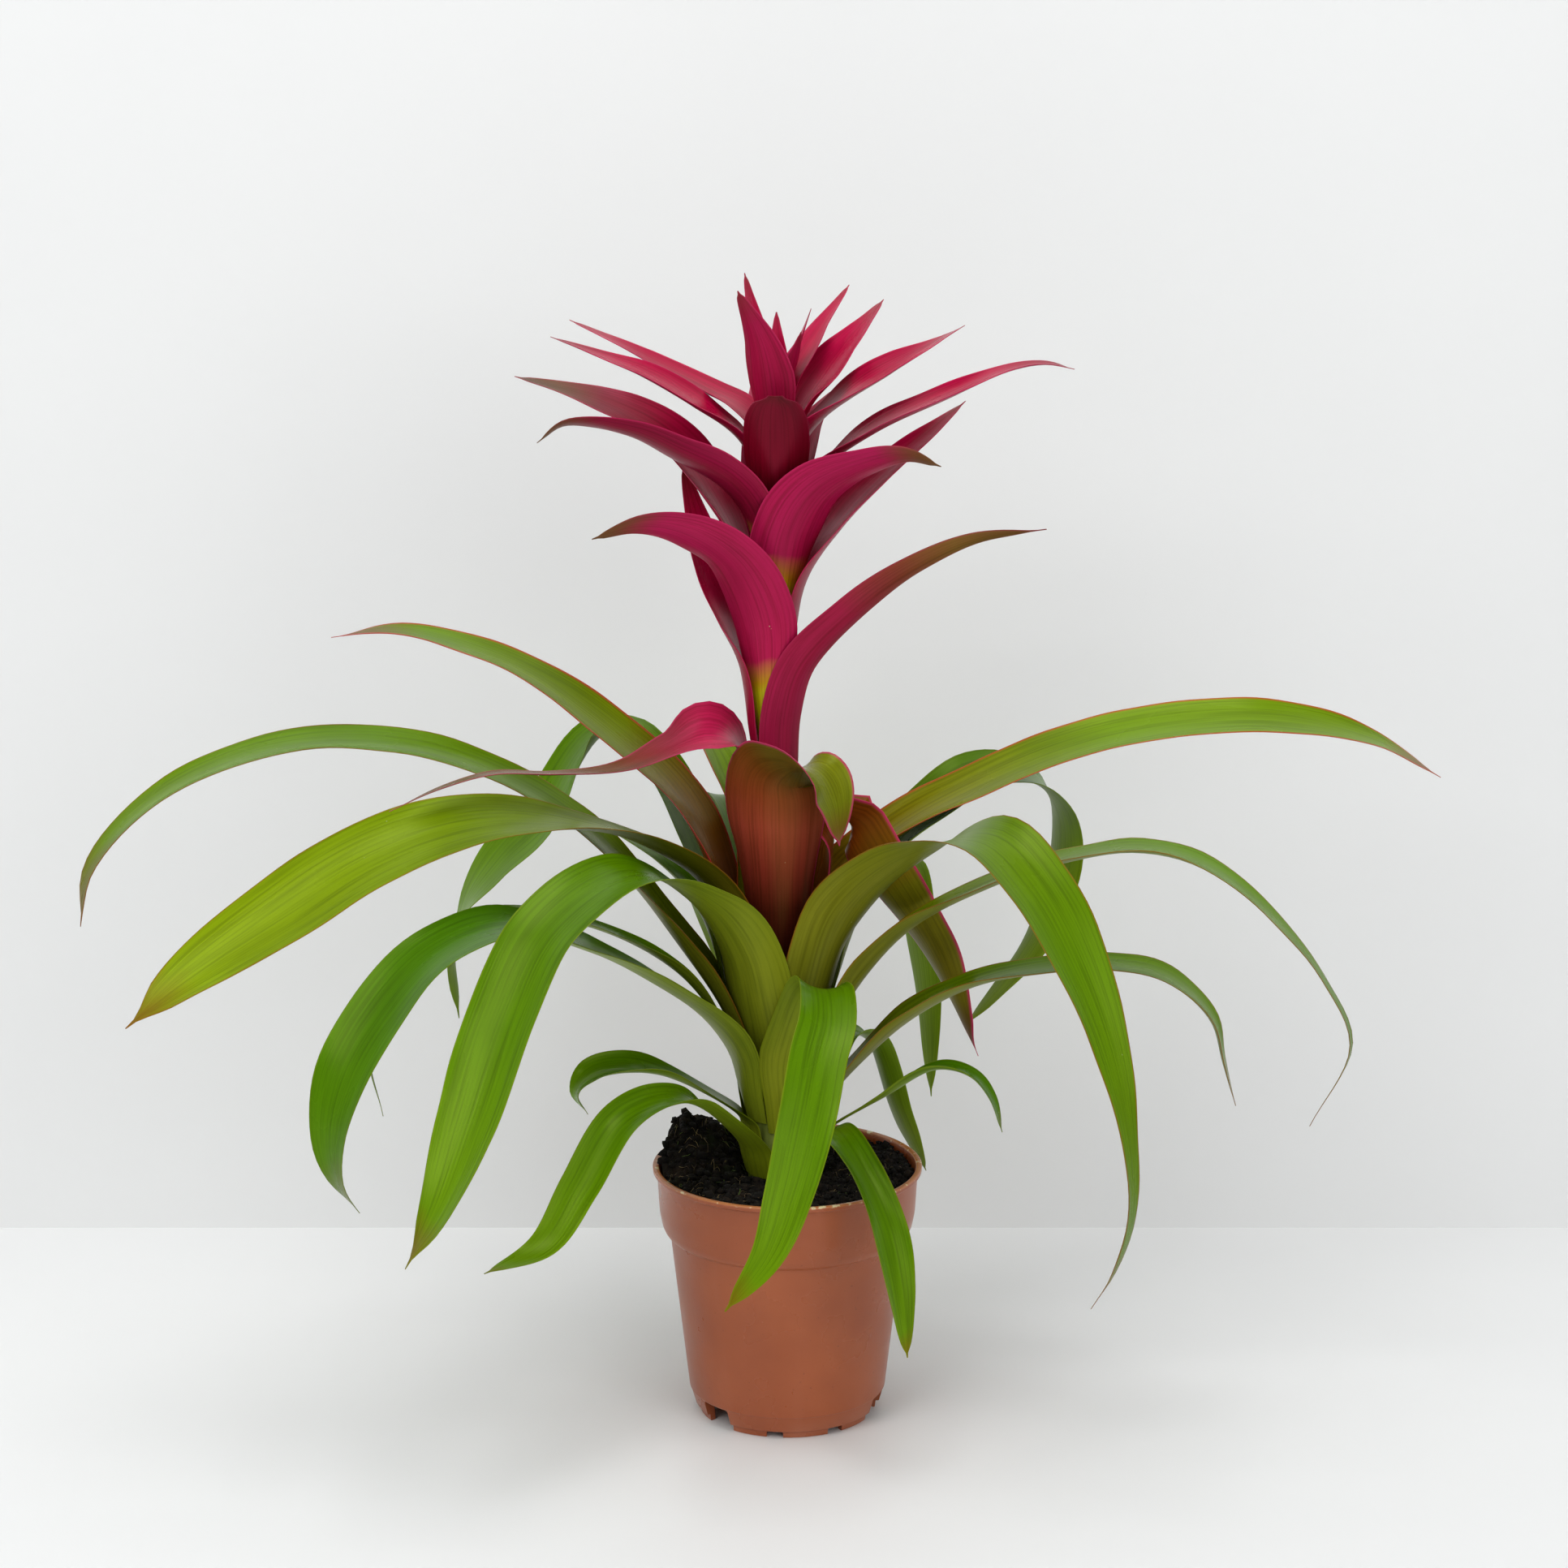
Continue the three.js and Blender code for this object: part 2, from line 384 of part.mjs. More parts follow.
// Bracts up the flower stalk, the lowest first.
const bracts = {
  bract_left_low: { az: 195, root: 262, wide: 32, wrap: 45, widths: tailedWidths, steps: 15, rows: [
    [20, 309, 0, -25], [31, 313, 0, -42], [47, 307, 1, -38], [68, 299, 2, -15], [100, 299, 4], [126, 301, 4],
    [150, 296, 4], [171, 288, 4]] },
  bract_front_right_low: { az: 285, root: 268, wide: 17, wrap: 50, widths: slimBractWidths, rows: [
    [11, 320, 5], [16, 342, 25], [36, 366, 48], [62, 386, 52], [90, 400, 53], [122, 406, 53]] },
  bract_left_inner: { az: 172, root: 285, wide: 32, wrap: 50, rows: [
    [14, 339], [22, 361], [28, 380], [33, 399], [41, 414], [50, 424]] },
  bract_front_left_mid: { az: 255, root: 300, wide: 31, wrap: 46, rows: [
    [13, 362, -5], [28, 388, -20], [50, 403, -30, 18], [73, 408, -34, 22], [95, 404, -36, 14]] },
  bract_back_low: { az: 95, root: 312, wide: 26, wrap: 50, rows: [
    [15, 366], [31, 396], [55, 412], [80, 408]] },
  bract_right_under: { az: 6, root: 325, wide: 36, wrap: 55, rows: [
    [14, 376], [28, 400, 0, 10], [48, 422, 0, 20], [68, 440, 0, 25], [83, 453, 0, 15]] },
  bract_front_right_mid: { az: 290, root: 342, wide: 34, rows: [
    [16, 400, 8], [26, 418, 24], [46, 430, 36], [64, 435, 40], [79, 431, 42]] },
  bract_left_mid: { az: 169, root: 352, sheath: 22, wide: 36, wrap: 37, rows: [
    [26, 410, 0, -10], [46, 436, 0, -20], [74, 452, 2, -25], [112, 463, 4, -10]] },
  bract_back_mid: { az: 95, root: 360, sheath: 22, wide: 28, wrap: 55, rows: [
    [20, 415], [40, 440], [64, 452], [90, 458]] },
  bract_front_left_high: { az: 228, root: 368, sheath: 18, wide: 30, wrap: 36, rows: [
    [13, 407, -6], [25, 421, -12], [45, 433, -22], [64, 443, -27], [92, 448, -30], [104, 440, -31]] },
  bract_right_high: { az: 345, root: 377, sheath: 18, wide: 28, wrap: 60, rows: [
    [19, 423], [44, 443, 0, 12], [76, 459, 0, 18], [100, 470, 0, 15], [116, 473, 0, 10], [128, 471]] },
  bract_back_right: { az: 52, root: 385, sheath: 18, wide: 24, wrap: 50, rows: [
    [17, 430], [28, 446], [42, 456]] },
  bract_front_scoop: { az: 268, root: 392, sheath: 18, wide: 31, widths: scoopWidths, tipWidth: 1.5, rows: [
    [15, 428], [20, 444], [26, 459]] },
  bract_left_high: { az: 181, root: 398, sheath: 16, wide: 28, wrap: 40, rows: [
    [16, 437], [36, 453, 2, -8], [57, 466, 4, -14], [78, 475, 4, -10], [96, 482, 4]] },
  bract_back_left: { az: 141, root: 404, sheath: 16, wide: 21, wrap: 45, rows: [
    [10, 440], [21, 450, 1], [37, 456, 4], [60, 465, 6], [84, 475, 7], [108, 483, 7]] },
  bract_right_upper: { az: 352, root: 410, sheath: 14, wide: 33, wrap: 60, rows: [
    [14, 441], [31, 457, 0, 15], [49, 469, 0, 22], [64, 478, 0, 15], [79, 487]] },
  bract_right_top: { az: 26, root: 416, sheath: 14, wide: 34, wrap: 60, rows: [
    [12, 449], [24, 466, 0, 12], [37, 481, 0, 12], [50, 495]] },
  bract_front_left_top: { az: 245, root: 421, sheath: 14, wide: 28, wrap: 60, rows: [
    [10, 456], [15, 480, -8], [25, 502, -18]] },
  bract_back_top: { az: 140, root: 426, sheath: 12, wide: 20, wrap: 45, rows: [
    [9, 460], [13, 482], [19, 507]] },
  bract_back_right_top: { az: 50, root: 431, sheath: 12, wide: 16, wrap: 40, rows: [
    [8, 462], [25, 481], [47, 500]] },
};
const bractForm = { sheath: 26, slope: 0.16, wrap: 72, cup: 34, widths: bractWidths, steps: 12 };
for (const [name, spec] of Object.entries(bracts)) addPiece(name, blade({ ...bractForm, ...spec }), 0xb0184f);

// Crown: the innermost bracts, grown together round a bud on the stalk's end.
const innerBracts = [
  { az: 5, wide: 14, rows: [[6, 466], [9, 479], [13.5, 493]] },
  { az: 100, wide: 12, rows: [[5, 464], [6, 478], [7, 491]] },
  { az: 200, wide: 12, rows: [[5, 462], [8, 474], [11, 485]] },
  { az: 320, wide: 15, rows: [[5, 461], [8, 472], [12, 484]] },
];
const crownZ = 440 + GAP;
const budProfile = [[0, crownZ], [2.8, crownZ], [4.6, 447], [4.8, 457], [3.6, 467], [0, 474]];
const innerForm = {
  root: 444, sheath: 8, slope: 0.1, wrap: 60, cup: 40, widths: bractWidths, steps: 5, most: 2,
};
const crown = innerBracts.map((spec) => toSolid(blade({ ...innerForm, ...spec }))).reduce(
  (all, one) => all.add(one), turned(budProfile, 10).translate(along(stemCentre, crownZ), 0, 0));
// Small hollows shut in between the bud and the bracts are filled: only the outer surface is kept.
const [crownSkin] = crown.simplify(0.05).decompose().sort((a, b) => b.volume() - a.volume());
addPiece("crown", fromSolid(crownSkin), 0xb8205a);

export default plant;
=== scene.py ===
# A guzmania in its nursery pot. Metres, +Z up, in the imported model's frame; the side that shows is at -Y.
import math
import random

import bmesh
import bpy
import numpy as np
from mathutils import Matrix, Vector, noise


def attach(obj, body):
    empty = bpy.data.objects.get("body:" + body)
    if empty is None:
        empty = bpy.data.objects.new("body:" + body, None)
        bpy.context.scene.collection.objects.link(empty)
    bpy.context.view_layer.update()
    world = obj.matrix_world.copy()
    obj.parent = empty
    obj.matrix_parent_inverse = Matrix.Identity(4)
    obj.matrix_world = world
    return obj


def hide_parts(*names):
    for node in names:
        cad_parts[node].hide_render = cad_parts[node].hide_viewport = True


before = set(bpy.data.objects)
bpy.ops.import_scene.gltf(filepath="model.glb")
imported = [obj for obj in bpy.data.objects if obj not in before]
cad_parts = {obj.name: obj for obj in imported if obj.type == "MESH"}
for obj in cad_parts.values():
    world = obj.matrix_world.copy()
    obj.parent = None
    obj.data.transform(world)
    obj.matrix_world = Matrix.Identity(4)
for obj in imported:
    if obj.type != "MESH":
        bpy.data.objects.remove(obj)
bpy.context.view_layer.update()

# The pot: one injection-moulded nursery pot in terracotta-brown polypropylene. Its wall flares up to a rolled
# collar with a thin lip, the floor is raised on a ring foot, and notches in the foot let the water drain.
# Its sizes are in millimetres, as all sizes here are but the studio's.
MM = 0.001
RIM_R, POT_H, WALL, FOOT_R, FLOOR_Z = 60, 114, 1.5, 39.7, 11.5
COLLAR_Z = 87
NOTCHES = 9  # every third one is deep, with a drain hole in the floor beside it
FIRST_NOTCH = -138  # degrees round from +X
DEEP_NOTCH, SMALL_NOTCH = (12, 15.5, 21), (12, 7.4, 6.2)  # through the foot, along it, and twice its height
NOTCH_ROUNDING = 1.2
DRAIN_R, DRAIN_OUT = 4, 24  # a drain hole's radius, and how far it lies from the axis


def wall_r(z):
    """The outer radius of the pot's wall at height z."""
    return 42.4 + 0.119 * z


def paint(code):
    """A '#rrggbb' screen colour as the linear colour that a shader takes."""
    steps = [int(code[i : i + 2], 16) / 255 for i in (1, 3, 5)]
    return *((c / 12.92 if c <= 0.04045 else ((c + 0.055) / 1.055) ** 2.4) for c in steps), 1.0


class Finish:
    """A material, with its nodes put in one by one."""

    def __init__(self, name, roughness, **sockets):
        self.material = bpy.data.materials.new(name)
        self.material.use_nodes = True
        self.nodes = self.material.node_tree.nodes
        self.shader = self.nodes["Principled BSDF"]
        named = {key.replace("_", " "): value for key, value in sockets.items()}
        self.feed(self.shader, {"Roughness": roughness} | named)

    def feed(self, node, values):
        for key, value in values.items():
            if isinstance(value, bpy.types.NodeSocket):
                self.material.node_tree.links.new(value, node.inputs[key])
            else:
                node.inputs[key].default_value = value

    def add(self, kind, values=None, output=0, **settings):
        node = self.nodes.new("ShaderNode" + kind)
        for key, value in settings.items():
            setattr(node, key, value)
        self.feed(node, values or {})
        return node.outputs[output]

    def sums(self, operation, a, b=0.0, c=0.0):
        return self.add("Math", {0: a, 1: b, 2: c}, operation=operation)

    def noise(self, at, scale, detail=3.0, stretch=(1, 1, 1)):
        at = self.add("Mapping", {"Vector": at, "Scale": stretch})
        return self.add("TexNoise", {"Vector": at, "Scale": scale, "Detail": detail})

    def span(self, value, low, high, to_low=0.0, to_high=1.0):
        ends = {"From Min": low, "From Max": high, "To Min": to_low, "To Max": to_high}
        return self.add("MapRange", {"Value": value} | ends, interpolation_type="SMOOTHSTEP")

    def mix(self, share, a, b, way="MIX"):
        return self.add("Mix", {0: share, 6: a, 7: b}, output=2, data_type="RGBA", blend_type=way)

    def ramp(self, value, stops):
        node = self.nodes.new("ShaderNodeValToRGB")
        self.feed(node, {0: value})
        places = node.color_ramp.elements
        places[0].position, places[1].position = stops[0][0], stops[-1][0]
        places[0].color, places[1].color = paint(stops[0][1]), paint(stops[-1][1])
        for place, code in stops[1:-1]:
            places.new(place).color = paint(code)
        return node.outputs[0]

    def bump(self, height, strength, distance):
        return self.add("Bump", {"Height": height, "Strength": strength, "Distance": distance})


def put_down(name, points, faces, finish, node=None, slot=None, crease=50):
    """A mesh from points in millimetres, smooth but for edges sharper than crease. It stands for a node."""
    mesh = bpy.data.meshes.new(name)
    mesh.from_pydata([Vector(p) * MM for p in points], [], faces)
    shell = bmesh.new()
    shell.from_mesh(mesh)
    bmesh.ops.recalc_face_normals(shell, faces=shell.faces)
    shell.to_mesh(mesh)
    shell.free()
    mesh.shade_smooth()
    mesh.set_sharp_from_angle(angle=math.radians(crease))
    mesh.materials.append(finish)
    piece = bpy.data.objects.new(name, mesh)
    bpy.context.scene.collection.objects.link(piece)
    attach(piece, "root")
    if node:
        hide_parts(node)
    return piece


def turned(profile, sides):
    """Points and faces of a profile of (radius, height), from axis to axis, turned about +Z."""
    points, rows, faces = [], [], []
    for r, z in profile:
        count = sides if r > 0 else 1
        rows.append([len(points) + j % count for j in range(sides + 1)])
        turns = [2 * math.pi * j / sides for j in range(count)]
        points += [(r * math.cos(t), r * math.sin(t), z) for t in turns]
    for low, high in zip(rows, rows[1:]):
        for j in range(sides):
            ring = dict.fromkeys((low[j], low[j + 1], high[j + 1], high[j]))
            faces.append(tuple(ring))
    return points, faces


def rounded(corners, arc=4):
    """A profile with each corner (radius, height, fillet) turned into a short curve."""
    profile = []
    for i, (r, z, fillet) in enumerate(corners):
        at = Vector((r, z))
        if fillet == 0 or i in (0, len(corners) - 1):
            profile.append((r, z))
            continue
        before, after = (Vector(corners[k][:2]) - at for k in (i - 1, i + 1))
        start = before.normalized() * min(fillet, before.length * 0.45)
        end = after.normalized() * min(fillet, after.length * 0.45)
        for k in range(arc + 1):
            t = k / arc
            profile.append(tuple(at + start * (1 - t) ** 2 + end * t**2))
    return profile


pot_outside = [
    (0, FLOOR_Z, 0), (FOOT_R - 1.6, FLOOR_Z, 0.8), (FOOT_R - 2.6, 0, 0.25), (FOOT_R, 0, 0.35),
    (FOOT_R + 0.4, 3.1, 0.2), (FOOT_R + 1.9, 3.4, 0.4), (wall_r(10.6), 10.6, 0.3),
    (wall_r(11) + 0.35, 11, 0.2), (wall_r(COLLAR_Z - 4) + 0.1, COLLAR_Z - 4, 0.7),
    (RIM_R - 5.4, COLLAR_Z - 2.6, 1.0), (RIM_R - 4.2, COLLAR_Z, 1.0), (RIM_R - 3, COLLAR_Z + 6, 2.0),
    (RIM_R - 1.9, POT_H - 3, 0.5), (RIM_R - 0.1, POT_H - 2.3, 0.5), (RIM_R, POT_H - 0.1, 0.5),
    (RIM_R - 1.2, POT_H, 0.4),
]
pot_inside = [
    (RIM_R - 2.6, POT_H - 0.3, 0.3), (RIM_R - 3.2, POT_H - 2.2, 0.5), (RIM_R - 5.6, COLLAR_Z + 3, 1.5),
    (wall_r(COLLAR_Z - 4) - WALL, COLLAR_Z - 4, 1.5), (wall_r(FLOOR_Z + 4) - WALL, FLOOR_Z + 4, 1.5),
    (wall_r(FLOOR_Z) - WALL - 1.2, FLOOR_Z + WALL, 1.0), (0, FLOOR_Z + WALL, 0),
]

plastic = Finish("terracotta_polypropylene", 0.3, Specular_IOR_Level=0.42)
on_pot = plastic.add("TexCoord", output="Object")
clouds = plastic.noise(on_pot, 26, 4)
flow = plastic.noise(on_pot, 90, 3, (1, 1, 0.06))
specks = plastic.noise(on_pot, 620, 2)
height = plastic.add("SeparateXYZ", {0: on_pot}, output="Z")
body = plastic.ramp(clouds, [(0.32, "#934926"), (0.55, "#9b4f2a"), (0.75, "#a3552e")])
body = plastic.mix(plastic.span(flow, 0.5, 0.72, 0, 0.22), body, paint("#9f583a"))
body = plastic.mix(plastic.span(specks, 0.7, 0.76, 0, 0.5), body, paint("#5a2c1c"))
lip = plastic.span(height, (POT_H - 1.2) * MM, (POT_H - 0.2) * MM)
body = plastic.mix(plastic.sums("MULTIPLY", lip, 0.75), body, paint("#c07a48"))
grit = plastic.sums("MULTIPLY", lip, plastic.span(plastic.noise(on_pot, 240, 2), 0.6, 0.66))
body = plastic.mix(grit, body, paint("#d8c89c"))
near_foot = plastic.span(height, 12 * MM, 0.0, 0, 0.6)
scuffed = plastic.sums("MULTIPLY", near_foot, plastic.span(clouds, 0.4, 0.6))
body = plastic.mix(scuffed, body, paint("#a9684c"))
sheen = plastic.span(plastic.noise(on_pot, 40, 5), 0.3, 0.7, 0.25, 0.37)
relief = plastic.bump(plastic.sums("MULTIPLY_ADD", flow, 0.6, plastic.noise(on_pot, 900, 2)), 0.18, 0.0002)
plastic.feed(plastic.shader, {"Base Color": body, "Roughness": sheen, "Normal": relief})

pot_points, pot_faces = turned(rounded(pot_outside + pot_inside), 180)
pot = put_down("nursery_pot", pot_points, pot_faces, plastic.material, "pot", "pot_plastic")
cutter = bmesh.new()
for i in range(NOTCHES):
    turn = Matrix.Rotation(math.radians(FIRST_NOTCH + 360 / NOTCHES * i), 4, "Z")
    deep = i % 3 == 0
    size = Vector(DEEP_NOTCH if deep else SMALL_NOTCH) * MM
    spot = turn @ Matrix.Translation((FOOT_R * MM, 0, 0)) @ Matrix.Diagonal((*size, 1))
    notch = bmesh.ops.create_cube(cutter, size=1, matrix=spot)
    tops = [e for e in cutter.edges if e.verts[0] in notch["verts"] and min(v.co.z for v in e.verts) > 0]
    outward = turn @ Vector((1, 0, 0))
    long_edges = [e for e in tops if abs((e.verts[0].co - e.verts[1].co).normalized() @ outward) > 0.9]
    bmesh.ops.bevel(
        cutter, geom=long_edges, offset=NOTCH_ROUNDING * MM, segments=4, affect="EDGES", profile=0.5)
    if deep:
        spot = turn @ Matrix.Translation((DRAIN_OUT * MM, 0, FLOOR_Z * MM))
        bmesh.ops.create_cone(
            cutter, cap_ends=True, segments=32, radius1=DRAIN_R * MM, radius2=DRAIN_R * MM, depth=8 * MM,
            matrix=spot)
cut_mesh = bpy.data.meshes.new("notches")
cutter.to_mesh(cut_mesh)
cutter.free()
cut = bpy.data.objects.new("notches", cut_mesh)
bpy.context.scene.collection.objects.link(cut)
trim = pot.modifiers.new("notches", "BOOLEAN")
trim.object, trim.operation, trim.solver = cut, "DIFFERENCE", "EXACT"
shaped = bpy.data.meshes.new_from_object(pot.evaluated_get(bpy.context.evaluated_depsgraph_get()))
pot.modifiers.clear()
pot.data = shaped
shaped.set_sharp_from_angle(angle=math.radians(40))
bpy.data.objects.remove(cut)

# The compost: damp dark peat that fills the pot to just under its lip and is pushed up in a heap at the back
# left. It is a plug with a crumbly top, with loose crumbs, pale fibres and a few shreds of moss lying on it.
SOIL_Z = 111
STEM_X = -1  # the stock stands a little off the pot's axis
MOUTH_R = 17.2  # of the hole that the stock stands in
MOUTH_Z = 108
SOIL_R = 55.9
HEAP_X, HEAP_Y, HEAP_H = -43, 21, 17
HEAP_SPREAD = 480  # in square millimetres
SLOPES_FROM = 46  # the radius from which the top falls off towards the wall
CRUMB_ROW = 110  # the height that marks the rows of the profile which become the crumbly top


def soil_height(x, y):
    """The top of the compost, in millimetres, without its crumbs."""
    heap = HEAP_H * math.exp(-((x - HEAP_X) ** 2 + (y - HEAP_Y) ** 2) / HEAP_SPREAD)
    level = SOIL_Z + 0.6 + heap - max(0, (math.hypot(x, y) - SLOPES_FROM) / 9) ** 2
    mouth = MOUTH_Z + max(0, math.hypot(x - STEM_X, y) - MOUTH_R) * 1.6
    return min(level, mouth)


def crumbled(x, y, z):
    """A point on the compost moved up or down by lumps and crumbs."""
    at = Vector((x, y, z))
    lumps = noise.noise(at * 0.14) * 2.2 + noise.noise(at * 0.42) * 1.8
    return z - 0.9 + lumps + abs(noise.noise(at)) * 1.6


soil_sides, soil_rings = 260, 62
round_the_stock = [(0, 80), (13.2, 80), (13.2, 88), (17.8, 96), (17.5, 104)]
top_rows = [(MOUTH_R + (SOIL_R - MOUTH_R) * i / (soil_rings - 1), CRUMB_ROW) for i in range(soil_rings)]
down_the_wall = [
    (54.6, SOIL_Z - 8), (wall_r(COLLAR_Z) - WALL - 0.8, COLLAR_Z - 1), (wall_r(17) - 2.2, 17),
    (wall_r(13.4) - 4, 13.4), (0, 13.4)]
soil_points, soil_faces = turned(round_the_stock + top_rows + down_the_wall, soil_sides)
for i, (x, y, z) in enumerate(soil_points):
    if z == CRUMB_ROW:
        z = crumbled(x, y, soil_height(x, y))
    # the hole is moved over to the stock, and the top round it follows less and less
    moved = min(1, max(0, 1 - (math.hypot(x, y) - 17) / 30)) if z > 79 else 0
    soil_points[i] = (x + STEM_X * moved, y, z)

peat = Finish("damp_peat", 0.95, Specular_IOR_Level=0.25)
on_soil = peat.add("TexCoord", output="Object")
peat_tones = [(0.3, "#060403"), (0.5, "#100b07"), (0.62, "#1b130c"), (0.8, "#2c2014")]
dark = peat.ramp(peat.noise(on_soil, 190, 5), peat_tones)
mossy = peat.span(peat.noise(on_soil, 55, 3), 0.62, 0.74, 0, 0.4)
dark = peat.mix(mossy, dark, paint("#1f2a0c"))
dark = peat.mix(peat.span(peat.noise(on_soil, 420, 2), 0.7, 0.74, 0, 0.6), dark, paint("#54442e"))
grain = peat.bump(peat.noise(on_soil, 700, 4), 0.8, 0.0008)
peat.feed(peat.shader, {"Base Color": dark, "Normal": grain})
put_down("peat_compost", soil_points, soil_faces, peat.material, "soil", "compost", 180)

crumb_source = bmesh.new()
bmesh.ops.create_icosphere(crumb_source, subdivisions=1, radius=1)
ball = [v.co.copy() for v in crumb_source.verts]
ball_faces = [tuple(v.index for v in f.verts) for f in crumb_source.faces]
crumb_source.free()
draw = random.Random(7)


def on_compost(inner, outer):
    """A place on the compost, drawn at random, in millimetres."""
    r = math.sqrt(draw.uniform(inner**2, outer**2))
    t = draw.uniform(0, 2 * math.pi)
    x, y = r * math.cos(t), r * math.sin(t)
    return Vector((x, y, crumbled(x, y, soil_height(x, y))))


def crumbs(count, smallest, largest):
    """Loose lumps of peat of uneven shape."""
    points, faces = [], []
    for _ in range(count):
        size = draw.triangular(smallest, largest, smallest)
        at = on_compost(20, 55.5) + Vector((0, 0, size * 0.2))
        squeeze = Vector((draw.uniform(0.7, 1.3), draw.uniform(0.7, 1.3), draw.uniform(0.6, 1)))
        start = len(points)
        for corner in ball:
            points.append(at + corner * squeeze * size * draw.uniform(0.65, 1.2))
        faces += [tuple(start + i for i in f) for f in ball_faces]
    return points, faces


def strands(count, longest, thickness):
    """Thin bent threads lying on the compost, each a three-sided tube through six points."""
    points, faces = [], []
    for _ in range(count):
        at = on_compost(24, 52)
        turn = draw.uniform(0, 2 * math.pi)
        length = draw.uniform(0.4, 1) * longest
        bend = draw.uniform(-1.5, 1.5)
        lift = draw.uniform(0.2, 1.2)
        start = len(points)
        for k in range(6):
            t = turn + bend * k / 5
            at = at + Vector((math.cos(t), math.sin(t), 0)) * length / 5
            if math.hypot(at.x, at.y) > 55:
                at *= 55 / math.hypot(at.x, at.y)
            z = crumbled(at.x, at.y, soil_height(at.x, at.y)) + 0.4 + lift * math.sin(math.pi * k / 5)
            across = Vector((-math.sin(t), math.cos(t), 0))
            for j in range(3):
                spin = 2 * math.pi * j / 3
                offset = (across * math.cos(spin) + Vector((0, 0, math.sin(spin)))) * thickness / 2
                points.append(Vector((at.x, at.y, z)) + offset)
        for k in range(5):
            for j in range(3):
                a, b = start + 3 * k + j, start + 3 * k + (j + 1) % 3
                faces.append((a, b, b + 3, a + 3))
        faces += [(start, start + 1, start + 2), (start + 15, start + 16, start + 17)]
    return points, faces


put_down("peat_crumbs", *crumbs(1900, 0.5, 3.0), peat.material, None, "compost", 180)

fibre = Finish("dry_fibre", 0.8)
straw = fibre.noise(fibre.add("TexCoord", output="Object"), 150, 2)
fibre.feed(fibre.shader, {"Base Color": fibre.ramp(straw, [(0.35, "#3a2a18"), (0.7, "#8b7650")])})
put_down("peat_fibres", *strands(150, 9, 0.28), fibre.material, None, "compost", 180)

moss = Finish("moss_shreds", 0.7)
tufts = moss.noise(moss.add("TexCoord", output="Object"), 120, 2)
moss.feed(moss.shader, {"Base Color": moss.ramp(tufts, [(0.35, "#25340c"), (0.7, "#5c7322")])})
put_down("moss_shreds", *strands(60, 6, 0.35), moss.material, None, "compost", 180)

# The stem: a short woody stock in the compost that tapers into the flower stalk, ringed where leaves grow
# from it. It is green below and red above, and the leaves' clasping bases hide nearly all of it.
STEM_LOW, STEM_HIGH = 88, 440
STEM_RADIUS = [  # by height
    (88, 12), (96, 16.6), (112, 16.6), (140, 14.8), (170, 12.6), (210, 9.6), (250, 6.4), (300, 4.6), (360, 4),
    (410, 3.4), (440, 2.8),
]
STEM_CENTRE = [  # how far the stem stands off the pot's axis, by height
    (88, 0), (112, -1), (200, -3.5), (310, -7), (400, -4), (440, -3.5), (520, -3.5),
]


def along(table, z):
    return float(np.interp(z, *zip(*table)))


def off_axis(points):
    return [(x + along(STEM_CENTRE, z), y, z) for x, y, z in points]


ringed = [(along(STEM_RADIUS, z) - 0.12 * (z % 12 < 2), z) for z in range(STEM_LOW, STEM_HIGH + 1, 2)]
stem_points, stem_faces = turned([(0, STEM_LOW), *ringed, (0, STEM_HIGH)], 40)
stalk = Finish("green_stalk", 0.5)
on_stalk = stalk.add("TexCoord", output="Object")
strings = stalk.noise(on_stalk, 300, 3, (1, 1, 0.1))
green_stalk = stalk.ramp(strings, [(0.35, "#59641f"), (0.7, "#7f8a3c")])
red_stalk = stalk.ramp(strings, [(0.35, "#6a1228"), (0.7, "#86203a")])
up_stalk = stalk.add("SeparateXYZ", {0: on_stalk}, output="Z")
stalk_tone = stalk.mix(stalk.span(up_stalk, 0.23, 0.27), green_stalk, red_stalk)
stalk.feed(stalk.shader, {"Base Color": stalk_tone, "Normal": stalk.bump(stalk_tone, 0.3, 0.0003)})
put_down("flower_stalk", off_axis(stem_points), stem_faces, stalk.material, "stem", "stem")

# Strap leaves: each one is a single thin blade that clasps the stock at its root, nests in the next lower
# leaf and then arches out and down. The upper face is glossy green over fine veins, the underside is duller,
# and both darken to olive and reddish-brown at the base. The short upper leaves are mostly that brown.
LEAF_T = 0.8
GAP = 0.3  # between a leaf's foot and the stock
CLASP = (12, 70)  # how far along the blade it starts and ends to let go of the stock
OPENS = (40, 140)  # how far along the deep channel starts and ends to open
RIPPLE = 1.1  # of the margin, up or down


def eased(table, x):
    """Looks x up in a table of (place, value) with a smooth curve that never overshoots."""
    i = max(0, min(len(table) - 2, sum(x > place for place, _ in table) - 1))

    def slope(k):
        if not 0 < k < len(table) - 1:
            return 0
        rises = [(table[j + 1][1] - table[j][1]) / (table[j + 1][0] - table[j][0]) for j in (k - 1, k)]
        return 0 if rises[0] * rises[1] <= 0 else 2 * rises[0] * rises[1] / (rises[0] + rises[1])

    (x0, y0), (x1, y1) = table[i], table[i + 1]
    t, gap = max(0, min(1, (x - x0) / (x1 - x0))), x1 - x0
    curve = y0 * (1 + 2 * t) * (1 - t) ** 2 + y1 * t * t * (3 - 2 * t)
    return curve + gap * (slope(i) * t * (1 - t) ** 2 - slope(i + 1) * t * t * (1 - t))


def smoothly(x, low, high):
    """0 up to low, 1 from high on, and a smooth rise between them."""
    x = max(0, min(1, (x - low) / (high - low)))
    return x * x * (3 - 2 * x)


